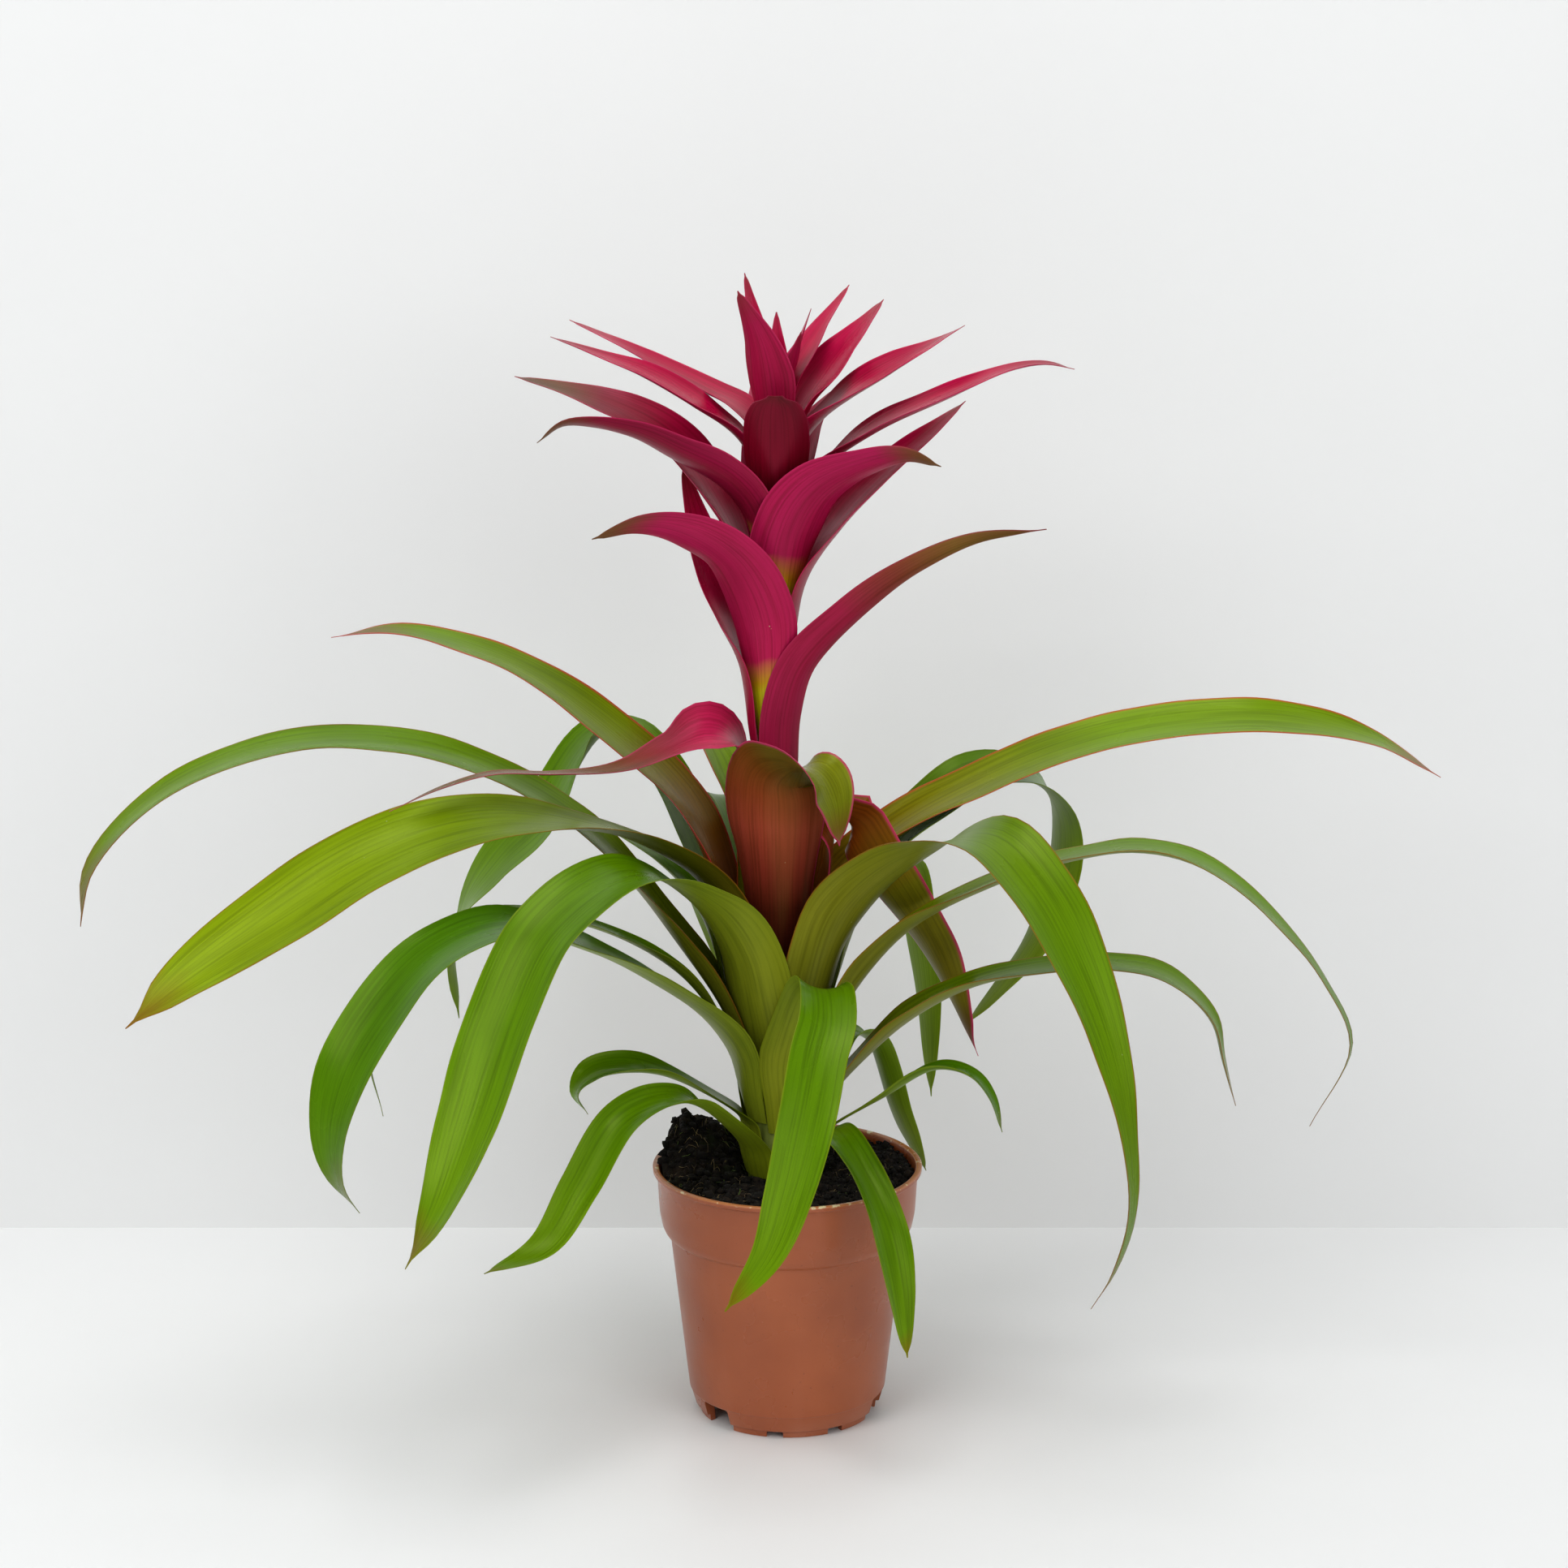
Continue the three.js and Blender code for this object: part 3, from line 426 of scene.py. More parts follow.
def smooth_spine(points):
    """A function that gives the place at t, from 0 to len(points) - 1, on a smooth curve through points."""
    row = [2 * points[0] - points[1], *points, 2 * points[-1] - points[-2]]

    def at(t):
        i = max(0, min(int(t), len(points) - 2))
        p0, p1, p2, p3 = row[i : i + 4]
        k0, k1, k2 = ((b - a).length ** 0.5 for a, b in ((p0, p1), (p1, p2), (p2, p3)))
        out = ((p1 - p0) / k0 - (p2 - p0) / (k0 + k1) + (p2 - p1) / k1) * k1
        into = ((p2 - p1) / k1 - (p3 - p1) / (k1 + k2) + (p3 - p2) / k2) * k1
        w = t - i
        return p1 + out * w + (3 * (p2 - p1) - 2 * out - into) * w**2 + (2 * (p1 - p2) + out + into) * w**3

    return at


def blade(
    az, root, rows, wide, widths, sheath, slope, wrap, cup, deep=None, tip=0.25, steps=72, columns=16,
    shift=0, stations=None,
):
    """Points, faces, marks and flat map of a blade that grows at height root, towards az degrees round.

    Its spine leaves the stock in a sheath that leans out by slope, and runs on through rows of (radius,
    height, turn, twist). Its section is an arc of up to wrap degrees to each side round the stock, then of
    deep and at last of cup degrees. The sideways direction is carried along the spine from station to
    station, or else at every step.
    """
    deep = deep or cup
    root_r = along(STEM_RADIUS, root) + GAP + LEAF_T / 2 + 0.15
    centre = along(STEM_CENTRE, root)
    rows = [(root_r + slope * sheath * k, root + sheath * k) for k in (0, 0.5, 1)] + rows
    rows = [tuple(row) + (0,) * (4 - len(row)) for row in rows]
    knots = []
    for r, z, turn, _ in rows:
        t = math.radians(az + turn)
        knots.append(Vector((centre + r * math.cos(t), r * math.sin(t), z)))
    at = smooth_spine(knots)
    twists = [(k, row[3]) for k, row in enumerate(rows)]
    last = len(rows) - 1
    samples = np.linspace(0, last, 321)
    walked = np.array([at(t) for t in samples])
    lengths = np.concatenate([[0], np.cumsum(np.linalg.norm(np.diff(walked, axis=0), axis=1))])
    length = lengths[-1]
    places = [math.sin(math.pi / 2 * (2 * j / columns - 1)) for j in range(columns + 1)]

    def carried(s, side):
        t = float(np.interp(s * length, lengths, samples))
        ahead = (at(min(t + 0.01, last)) - at(max(t - 0.01, 0))).normalized()
        return t, ahead, (side - ahead * side.dot(ahead)).normalized()

    facing = math.radians(az)
    stations = stations or steps
    sides = [carried(0, Vector((-math.sin(facing), math.cos(facing), 0)))[2]]
    for k in range(1, stations + 1):
        sides.append(carried(k / stations, sides[-1])[2])

    sections = []
    for i in range(steps + 1):
        s = i / steps
        t, ahead, side = carried(s, sides[min(i * stations // steps, stations)])
        here = at(t)
        sideways = Matrix.Rotation(math.radians(eased(twists, t)), 3, ahead) @ side
        up = ahead.cross(sideways)
        from_stem = math.hypot(here.x - centre, here.y)
        clasp = 1 - smoothly(s * length, *CLASP)
        half = max(eased(widths, s) * wide / 2, tip)
        channel = deep + (cup - deep) * smoothly(s * length, *OPENS)
        free = math.radians(channel) * min(1, half / (wide * 0.3))
        wrapped = min(half / from_stem, math.radians(wrap))
        angle = free + (wrapped - free) * clasp
        turn = math.atan2(here.y, here.x - centre)
        r = half / angle
        line = []
        for a in places:
            opened = here + sideways * r * math.sin(a * angle) + up * r * (1 - math.cos(a * angle))
            ripple = noise.noise(Vector((s * length * 0.035, math.copysign(3, a), shift))) * (1 - clasp)
            opened += up * ripple * RIPPLE * abs(a) ** 3 * min(1, half / 6)
            t = turn + a * wrapped
            closed = Vector((centre + from_stem * math.cos(t), from_stem * math.sin(t), here.z))
            line.append(opened.lerp(closed, clasp))
        sections.append((line, up, half, s))
    return thickened(sections, places, wide, length, shift)


def thickened(sections, places, wide, length, shift):
    """A blade's two faces and rounded margins about its sections, thinner towards the margins.

    A mark is the place along the blade, the distance to its margin, and 1 above or 0 under.
    """
    steps, columns = len(sections) - 1, len(places) - 1
    loop = [(j, 1) for j in range(columns + 1)] + [(columns, 0)]
    loop += [(j, -1) for j in reversed(range(columns + 1))] + [(0, 0)]
    points, marks, flat = [], [], []
    for i, (line, up, half, s) in enumerate(sections):
        ahead_line, back_line = sections[min(i + 1, steps)][0], sections[max(i - 1, 0)][0]
        faces_up = []
        for j in range(columns + 1):
            across = line[min(j + 1, columns)] - line[max(j - 1, 0)]
            normal = (ahead_line[j] - back_line[j]).cross(across).normalized()
            faces_up.append(normal if normal.dot(up) > 0 else -normal)
        thin = LEAF_T / 2 * min(1, 0.35 + half / 6)
        skin = [thin * (1 - 0.55 * a * a) for a in places]
        out = [(line[0] - line[1]).normalized(), (line[-1] - line[-2]).normalized()]
        for j, face in loop:
            if face:
                points.append(line[j] + faces_up[j] * face * skin[j])
            else:
                points.append(line[j] + out[j > 0] * skin[j] * 0.8)
            marks.append((s, (1 - abs(places[j])) * half, (face + 1) / 2))
            flat.append((places[j] * wide / 2 + shift * 37.3, s * length + shift * 91.7))
    ring = len(loop)
    faces = [
        (i * ring + j, i * ring + (j + 1) % ring, (i + 1) * ring + (j + 1) % ring, (i + 1) * ring + j)
        for i in range(steps) for j in range(ring)
    ]
    for start in (0, steps * ring):
        under = [start + 2 * columns + 2 - j for j in range(columns + 1)]
        faces += [(start + j, start + j + 1, under[j + 1], under[j]) for j in range(columns)]
        faces += [(start, under[0], start + ring - 1), (start + columns, start + columns + 1, under[columns])]
    return points, faces, marks, flat


def grow(name, blades, finish, node, slot):
    """One piece made of one or more blades, with each point's place on its blade kept for the finish."""
    points, faces, marks, flat = [], [], [], []
    for some_points, some_faces, some_marks, some_flat in blades:
        faces += [tuple(len(points) + i for i in face) for face in some_faces]
        points, marks, flat = points + some_points, marks + some_marks, flat + some_flat
    piece = put_down(name, points, faces, finish, node, slot, 60)
    kept = piece.data.attributes.new("blade", "FLOAT_VECTOR", "POINT")
    kept.data.foreach_set("vector", np.array(marks, np.float32).ravel())
    layer = piece.data.uv_layers.new(name="flat_blade")
    corners = np.zeros(len(piece.data.loops), np.int32)
    piece.data.loops.foreach_get("vertex_index", corners)
    layer.uv.foreach_set("vector", (np.array(flat, np.float32) * MM)[corners].ravel())


def leaf_finish(name, face, under, margin, gleam="#ccdc6c", dry_tip=0.0, rim=0.3):
    """A leaf's skin: face and under are its colours from foot to tip, over fine veins along it.

    The margin has a colour and a strength, and is rim wide or a little more. The last dry_tip of the blade is
    withered.
    """
    skin = Finish(name, 0.3, Specular_IOR_Level=0.36, Specular_Tint=paint(gleam))
    mark = skin.add("Attribute", output="Vector", attribute_name="blade")
    down, edge, upper = (skin.add("SeparateXYZ", {0: mark}, output=axis) for axis in "XYZ")
    flat = skin.add("UVMap", uv_map="flat_blade")
    veins = skin.noise(flat, 1000, 3, (0.9, 0.016, 1))
    bands = skin.noise(flat, 1000, 2, (0.14, 0.005, 1))
    clouds = skin.noise(flat, 1000, 4, (0.03, 0.014, 1))
    drift = skin.sums("MULTIPLY_ADD", skin.sums("SUBTRACT", clouds, 0.5), 0.12, down)
    tone = skin.mix(upper, skin.ramp(drift, under), skin.ramp(drift, face))
    for pattern, low, high, share, colour in (
        (veins, 0.4, 0.7, 0.7, "#c4c6b0"), (bands, 0.4, 0.72, 0.35, "#fffce0"),
        (clouds, 0.45, 0.75, 0.5, "#bcc2a8"),
    ):
        shade = skin.mix(1.0, tone, paint(colour), "MULTIPLY")
        tone = skin.mix(skin.span(pattern, low, high, 0, share), tone, shade)
    wander = skin.sums("MULTIPLY_ADD", clouds, 0.9, rim)
    tone = skin.mix(skin.span(edge, wander, 0.1, 0, margin[1]), tone, paint(margin[0]))
    if dry_tip:
        tone = skin.mix(skin.span(drift, 1 - dry_tip, 1.0), tone, paint("#6a4a26"))
    dots = skin.add("TexVoronoi", {"Vector": flat, "Scale": 170.0, "Randomness": 1.0})
    rare = skin.span(skin.noise(flat, 90, 2), 0.62, 0.66)
    dots = skin.sums("MULTIPLY", skin.span(dots, 0.06, 0.025), rare)
    tone = skin.mix(skin.sums("MULTIPLY", dots, 0.45), tone, paint("#c9cda0"))
    height = skin.sums("MULTIPLY_ADD", veins, 0.6, skin.sums("MULTIPLY", bands, 0.9))
    gloss = skin.span(clouds, 0.3, 0.7, 0.24, 0.34)
    gloss = skin.sums("MULTIPLY_ADD", skin.sums("SUBTRACT", 1.0, upper), 0.12, gloss)
    relief = skin.bump(height, 0.35, 0.0004)
    skin.feed(skin.shader, {"Base Color": tone, "Roughness": gloss, "Normal": relief})
    return skin.material


LEAF_FINISHES = {
    "green": leaf_finish(
        "green_leaf",
        [(0, "#6c740a"), (0.14, "#627a06"), (0.34, "#4c7401"), (0.7, "#507801"), (0.93, "#608604"),
         (1, "#78640a")],
        [(0, "#868c1d"), (0.16, "#828a1c"), (0.34, "#72841a"), (0.6, "#5e7c11"), (1, "#64780e")],
        ("#74800d", 0.4)),
    "fresh": leaf_finish(
        "fresh_green_leaf",
        [(0, "#626e06"), (0.2, "#547a02"), (0.6, "#568001"), (0.95, "#688e05"), (1, "#80700e")],
        [(0, "#707a11"), (0.4, "#648212"), (1, "#688613")],
        ("#7a8c0e", 0.4)),
    "bright": leaf_finish(
        "bright_green_leaf",
        [(0, "#563c07"), (0.14, "#615407"), (0.3, "#617103"), (0.55, "#6c8602"), (0.9, "#7d9507"),
         (1, "#7b520c")],
        [(0, "#563d0c"), (0.2, "#5d540c"), (0.42, "#636e0d"), (1, "#6c790c")],
        ("#824a0d", 0.6)),
    "dark": leaf_finish(
        "dark_green_leaf",
        [(0, "#6c7a10"), (0.2, "#4c7009"), (0.5, "#3e6c02"), (0.9, "#4a7602"), (1, "#646409")],
        [(0, "#8a9422"), (0.3, "#7c8e1e"), (0.6, "#648418"), (1, "#587a0f")],
        ("#70780e", 0.35)),
    "olive": leaf_finish(
        "olive_leaf",
        [(0, "#62600d"), (0.2, "#626c09"), (0.36, "#587403"), (0.6, "#567c01"), (0.9, "#5e7e05"),
         (1, "#72460c")],
        [(0, "#747417"), (0.2, "#7a7a1b"), (0.5, "#707c1c"), (1, "#5e7211")],
        ("#844015", 0.6)),
    "purple": leaf_finish(
        "purple_based_leaf",
        [(0, "#5e240c"), (0.2, "#703410"), (0.34, "#704c0e"), (0.5, "#667605"), (0.85, "#608206"),
         (1, "#76440f")],
        [(0, "#642018"), (0.16, "#7a3420"), (0.3, "#7c3c1a"), (0.42, "#784e14"), (0.6, "#68760b"),
         (1, "#68720f")],
        ("#a42428", 0.9), rim=1.1),
    "striped": leaf_finish(
        "yellow_green_leaf",
        [(0, "#703a0e"), (0.14, "#7c5a0c"), (0.28, "#767407"), (0.55, "#688a05"), (0.9, "#688608"),
         (1, "#844815")],
        [(0, "#70340e"), (0.16, "#86680f"), (0.34, "#7a760b"), (0.6, "#6a820a"), (1, "#68760d")],
        ("#ac3824", 0.85), rim=0.9),
    "red_brown": leaf_finish(
        "red_brown_leaf",
        [(0, "#4c180c"), (0.5, "#5c440c"), (0.64, "#70620c"), (0.76, "#6e740e"), (0.88, "#72780e"),
         (0.95, "#745c1a"), (1, "#8c5a3c")],
        [(0, "#38100a"), (0.2, "#521810"), (0.32, "#7c2a20"), (0.44, "#963c2c"), (0.54, "#8a3c20"),
         (0.6, "#6e3a14"), (0.66, "#66501a"), (1, "#766420")],
        ("#b0285a", 0.95), rim=1.0),
    "orange_brown": leaf_finish(
        "orange_brown_leaf",
        [(0, "#5e280c"), (0.24, "#7a3a0c"), (0.4, "#7c420c"), (0.54, "#78700e"), (0.85, "#726a0e"),
         (1, "#6c2c16")],
        [(0, "#52200e"), (0.26, "#7a3412"), (0.4, "#80380a"), (0.48, "#7e520e"), (0.56, "#7c7414"),
         (0.86, "#786c16"), (1, "#702c16")],
        ("#c0285c", 0.95), rim=1.2),
}
LEAF_WIDTHS = [  # the share of its full width that a leaf has, by place from foot to tip
    (0, 1.3), (0.1, 1.3), (0.25, 1.1), (0.45, 1), (0.65, 0.96), (0.8, 0.78), (0.9, 0.5), (0.96, 0.26), (1, 0)]
BLUNT = [(0, 1.3), (0.1, 1.25), (0.25, 1.06), (0.45, 1), (0.72, 1), (0.86, 0.78), (0.94, 0.46), (1, 0)]
BROADFOOT = [(0, 1.3), (0.1, 1.36), (0.25, 1.22), (0.45, 1), (0.72, 0.98), (0.86, 0.76), (0.94, 0.46), (1, 0)]
SLENDER = [
    (0, 1.3), (0.1, 1.1), (0.22, 1), (0.4, 1), (0.55, 0.88), (0.68, 0.56), (0.8, 0.26), (0.92, 0.15), (1, 0)]
TAPERED = [(0, 1), (0.15, 1.05), (0.3, 1), (0.45, 0.76), (0.65, 0.64), (0.8, 0.48), (0.92, 0.26), (1, 0)]
FLAP = [
    (0, 1), (0.2, 0.82), (0.5, 1), (0.62, 0.8), (0.72, 0.6), (0.82, 0.5), (0.9, 0.32), (0.96, 0.16), (1, 0)]
FOLDED = [
    (0, 1), (0.1, 1.1), (0.2, 1.16), (0.3, 1.2), (0.42, 1.02), (0.58, 0.86), (0.75, 0.76), (0.9, 0.42),
    (1, 0)]
LEAF_FORM = dict(sheath=36, slope=0.28, wrap=70, deep=70, cup=24, widths=LEAF_WIDTHS)
leaves = {
    "leaf_front_left_low": ("fresh", dict(az=221, root=112, sheath=14, wide=19, wrap=45, rows=[
        (40, 144, 3), (70, 160, 6, -10), (102, 158, 6, -20), (126, 135, 6, -25), (147, 115, 6, -25),
        (178, 110, 5)])),
    "leaf_front_right_low": ("green", dict(az=300, root=115, sheath=14, wide=19, rows=[
        (40, 141), (63, 131), (86, 111), (97, 87), (104, 58)])),
    "leaf_back_right_low": ("fresh", dict(az=45, root=118, sheath=20, wide=18, rows=[
        (40, 164), (55, 159), (73, 122), (93, 88)])),
    "leaf_right_thin_low": ("dark", dict(az=332, root=121, sheath=10, wide=12, rows=[
        (50, 153), (75, 169), (92, 168), (101, 159), (106, 145)])),
    "leaf_left_short_low": ("green", dict(az=197, root=124, sheath=14, wide=20, rows=[
        (50, 158), (74, 166, 3, -15), (89, 165, 3, -20), (96, 157, 3), (91, 147, 3)])),
    "leaf_back_low": ("green", dict(az=111, root=127, wide=28, rows=[
        (45, 195), (80, 213), (112, 204, -5), (138, 176, -10), (152, 140, -13)])),
    "leaf_right_low": ("olive", dict(az=350, root=130, sheath=16, wide=24, rows=[
        (53, 181), (83, 200), (114, 209, 0, 5), (146, 212, 0, 5), (168, 208, 0, 5), (187, 191),
        (193, 172), (199, 152)])),
    "leaf_front": ("green", dict(az=278, root=133, wide=25, wrap=32, cup=14, rows=[
        (43, 202, 8), (62, 211, 8), (80, 203, 5), (92, 192, 1), (108, 170, -3), (122, 143, -7),
        (131, 119, -11), (139, 97, -18)])),
    "leaf_left_mid": ("dark", dict(az=208, root=137, sheath=30, wide=34, wrap=34, deep=34, rows=[
        (38, 186), (68, 209, 2), (100, 228, 2, -5), (136, 241, 2, -8), (168, 233, 2, -10),
        (192, 212, 2, -20), (209, 188, 2, -30), (216, 163, 2, -25), (214, 143, 2, -10), (204, 127, 2)])),
    "leaf_back_right_mid": ("fresh", dict(az=72, root=140, wide=22, rows=[
        (48, 210), (80, 221), (112, 226, -4), (136, 222, -7), (146, 188, -8), (152, 148, -9),
        (158, 100, -9)])),
    "leaf_left_thin": ("green", dict(az=191, root=143, sheath=28, wide=14, rows=[
        (46, 204), (86, 228), (132, 235), (168, 211), (182, 178), (177, 147)])),
    "leaf_left_long": ("olive", dict(az=184, root=147, wide=27, rows=[
        (43, 212), (88, 270, 0, -12), (150, 305, 3, -10), (212, 312, 6, -4), (266, 294, 7, -4),
        (297, 265, 8, -10), (302, 240, 8, -10)])),
    "leaf_right_long": ("olive", dict(az=340, root=150, sheath=30, wide=28, widths=SLENDER, rows=[
        (55, 224), (95, 250, 0, 3), (132, 265), (160, 271), (187, 267), (214, 250), (240, 222),
        (252, 195), (236, 158)])),
    "leaf_left_behind": ("green", dict(az=156, root=154, sheath=30, wide=24, rows=[
        (40, 229), (58, 247), (76, 256), (92, 262)])),
    "leaf_front_left_big": ("green", dict(az=232, root=158, wide=33, wrap=70, widths=BROADFOOT, rows=[
        (31, 216, -2), (50, 242, -5, -5), (88, 262, -8, -20), (132, 246, -9, -30), (158, 214, -8, -30),
        (182, 177, -6, -30), (202, 147, -5, -20), (215, 121, -7)])),
    "leaf_back_right_folded": ("green", dict(az=30, root=162, wide=30, wrap=34, rows=[
        (49, 244), (78, 268, 0, 10), (102, 280, 0, 20), (129, 276, 0, 20), (146, 258, 0, 10), (147, 230),
        (135, 202), (116, 180), (96, 163)])),
    "leaf_front_right_big": ("olive", dict(az=312, root=166, wide=34, wrap=40, widths=SLENDER, rows=[
        (38, 236, 4, -22), (74, 267, 6, -8), (115, 281, 6, 22), (142, 264, 6, 25), (166, 232, 6, 25),
        (183, 196, 6, 25), (192, 158, 6, 10), (192, 131, 6), (184, 108, 6), (173, 90, 6)])),
    "leaf_back_left_droop": ("fresh", dict(az=147, root=168, wide=28, wrap=35, deep=30, rows=[
        (42, 250), (64, 286), (84, 302), (104, 293, 0, -45), (130, 257, 0, -70), (156, 232, 0, -65),
        (175, 208, 0, -45), (184, 180, 0, -20), (181, 152)])),
    "leaf_left_broad": ("bright", dict(
        az=208, root=174, slope=0.25, wide=36, wrap=32, deep=50, widths=BLUNT, rows=[
            (36, 245, -3), (62, 265, -5), (86, 275, -5, -5), (135, 281, -7, -30), (181, 270, -8, -45),
            (223, 248, -8, -50), (264, 224, -8, -50), (288, 206, -8, -40)])),
    "leaf_back": ("green", dict(az=91, root=178, sheath=26, slope=0.32, wide=22, wrap=32, deep=50, rows=[
        (31, 225), (53, 238), (84, 230), (107, 200), (122, 160)])),
    "leaf_back_left": ("green", dict(az=111, root=182, sheath=26, wide=24, wrap=34, deep=46, rows=[
        (30, 237), (43, 257), (62, 268), (88, 259), (106, 232)])),
    "upper_leaf_left": ("purple", dict(az=172, root=187, wide=38, wrap=40, deep=40, widths=TAPERED, rows=[
        (42, 276, 0, -10), (75, 309, 0, -20), (118, 337, 0, -14), (169, 351, 0, -12), (199, 347, 0, -10)])),
    "upper_leaf_right": ("striped", dict(az=34, root=191, wide=27, rows=[
        (57, 257, -3), (101, 281, -12, 5), (142, 297, -17, 8), (184, 305, -20, 10), (228, 306, -22, 14),
        (273, 295, -22, 8), (306, 276, -22)])),
    "upper_leaf_back_left": ("striped", dict(az=118, root=196, wide=24, wrap=50, rows=[
        (31, 266), (47, 284), (60, 293), (74, 298), (88, 300)])),
    "upper_leaf_back_right": ("orange_brown", dict(
        az=24, root=200, sheath=30, wide=30, wrap=42, deep=32, cup=30, widths=FOLDED, stations=15, rows=[
            (24, 260, -3, -8), (27, 271, -11, -44), (31, 270, -24, -78), (41, 257, -34, -96),
            (55, 235, -28, -92), (69, 210, -17, -78), (81, 184, -11, -64), (93, 156, -8, -50)])),
    "upper_leaf_front": ("red_brown", dict(
        az=260, root=206, slope=0.12, wide=52, wrap=92, deep=66, cup=30, widths=FLAP, rows=[
            (17.5, 263), (20, 282), (24, 294, 3), (31, 301, 20, 30), (38, 300, 35, 68), (41, 289, 44, 93),
            (43, 268, 47, 95)])),
}
for shift, (node, (colouring, form)) in enumerate(leaves.items()):
    slot = "upper_leaf" if node.startswith("upper") else "leaf"
    grow(node + "_blade", [blade(**LEAF_FORM | form, shift=shift)], LEAF_FINISHES[colouring], node, slot)

# Bracts: the magenta leaves up the flower stalk, shaped like the strap leaves but short, cupped and pointed.
# They are softly glossy, some have a yellow-green foot where they grow from the stalk, and many a dry tip.
BRACT_WIDTHS = [
    (0, 0.7), (0.12, 0.86), (0.3, 1), (0.45, 0.98), (0.6, 0.8), (0.75, 0.52), (0.88, 0.28), (0.96, 0.14),
    (1, 0)]
SLIM_BRACT = [(0, 1.3), (0.2, 1.2), (0.4, 1), (0.6, 0.75), (0.75, 0.5), (0.9, 0.26), (1, 0)]
TAILED = [
    (0, 0.66), (0.15, 0.95), (0.25, 1), (0.31, 0.82), (0.38, 0.44), (0.58, 0.3), (0.72, 0.26), (0.86, 0.2),
    (1, 0)]
SCOOP = [(0, 0.66), (0.3, 0.92), (0.6, 1), (0.8, 0.92), (0.93, 0.66), (1, 0.2)]
BRACT_FORM = dict(sheath=26, slope=0.16, wrap=72, cup=34, widths=BRACT_WIDTHS, steps=56)


def bract_finish(name, face, under, margin, dry_tip=0.0):
    return leaf_finish(name, face, under, margin, "#ff86a6", dry_tip)


BRACT_FINISHES = {
    "magenta": bract_finish(
        "magenta_bract",
        [(0, "#7a8010"), (0.08, "#8a4016"), (0.16, "#900a34"), (0.5, "#a0083c"), (0.82, "#960a36"),
         (0.93, "#7a2020"), (1, "#644618")],
        [(0, "#a09c0c"), (0.16, "#a8980c"), (0.24, "#901438"), (0.5, "#94123e"), (0.8, "#8c1238"),
         (0.93, "#742420"), (1, "#644618")],
        ("#b82a58", 0.35), 0.2),
    "patched": bract_finish(
        "bract_with_yellow_foot",
        [(0, "#8c8c08"), (0.14, "#8a400e"), (0.22, "#980c3a"), (0.82, "#a00e40"), (0.93, "#7a2020"),
         (1, "#644618")],
        [(0, "#96960a"), (0.17, "#b0a80a"), (0.2, "#b0840a"), (0.26, "#a81646"), (0.8, "#b01a50"),
         (0.93, "#7a2c26"), (1, "#644618")],
        ("#b82a58", 0.35), 0.2),
    "wide_patched": bract_finish(
        "bract_with_wide_yellow_foot",
        [(0, "#8c8c08"), (0.14, "#8a400e"), (0.22, "#980c3a"), (0.82, "#a00e40"), (0.93, "#7a2020"),
         (1, "#644618")],
        [(0, "#a09c0a"), (0.24, "#b8ac0a"), (0.28, "#b0780c"), (0.35, "#a01244"), (0.8, "#a8164c"),
         (0.93, "#7a2c26"), (1, "#644618")],
        ("#b82a58", 0.35), 0.2),
    "tailed": bract_finish(
        "brown_tailed_bract",
        [(0, "#7c0c28"), (0.3, "#8a0c30"), (0.54, "#8a1434"), (0.68, "#6e3420"), (0.82, "#6c5418"),
         (1, "#5c3c18")],
        [(0, "#841030"), (0.3, "#9c1842"), (0.52, "#981a3c"), (0.66, "#7a3624"), (0.8, "#74561e"),
         (1, "#5e401c")],
        ("#a42a50", 0.35)),
    "scoop": bract_finish(
        "dark_crimson_bract",
        [(0, "#5c0418"), (0.6, "#72041e"), (1, "#6a0a1e")],
        [(0, "#6a3408"), (0.14, "#640418"), (0.6, "#70041c"), (0.93, "#6c081e"), (1, "#5a1418")],
        ("#8c2040", 0.3)),
    "pink": bract_finish(
        "pink_bract",
        [(0, "#a00c3c"), (0.14, "#b4164c"), (0.3, "#b8204e"), (0.38, "#8c2434"), (0.5, "#64380c"),
         (1, "#604c04")],
        [(0, "#8c0c34"), (0.2, "#9c1440"), (0.33, "#842430"), (0.5, "#5c3c0c"), (1, "#584604")],
        ("#c43468", 0.4)),
    "dry_tipped": bract_finish(
        "dry_tipped_bract",
        [(0, "#8c082c"), (0.3, "#a40836"), (0.6, "#a40a3a"), (0.78, "#80303a"), (0.9, "#6a5038"),
         (1, "#5c4630")],
        [(0, "#8a0a30"), (0.4, "#9c0c3a"), (0.62, "#9a1040"), (0.78, "#7a3038"), (0.9, "#6a5038"),
         (1, "#5c4630")],
        ("#c43464", 0.35)),
    "bright": bract_finish(
        "bright_magenta_bract",
        [(0, "#8c082c"), (0.3, "#a80838"), (0.82, "#ac0a3e"), (0.95, "#982036"), (1, "#703020")],
        [(0, "#8a0a30"), (0.4, "#9c0c3a"), (0.8, "#9c1040"), (0.95, "#842030"), (1, "#703020")],
        ("#c43464", 0.35)),
}
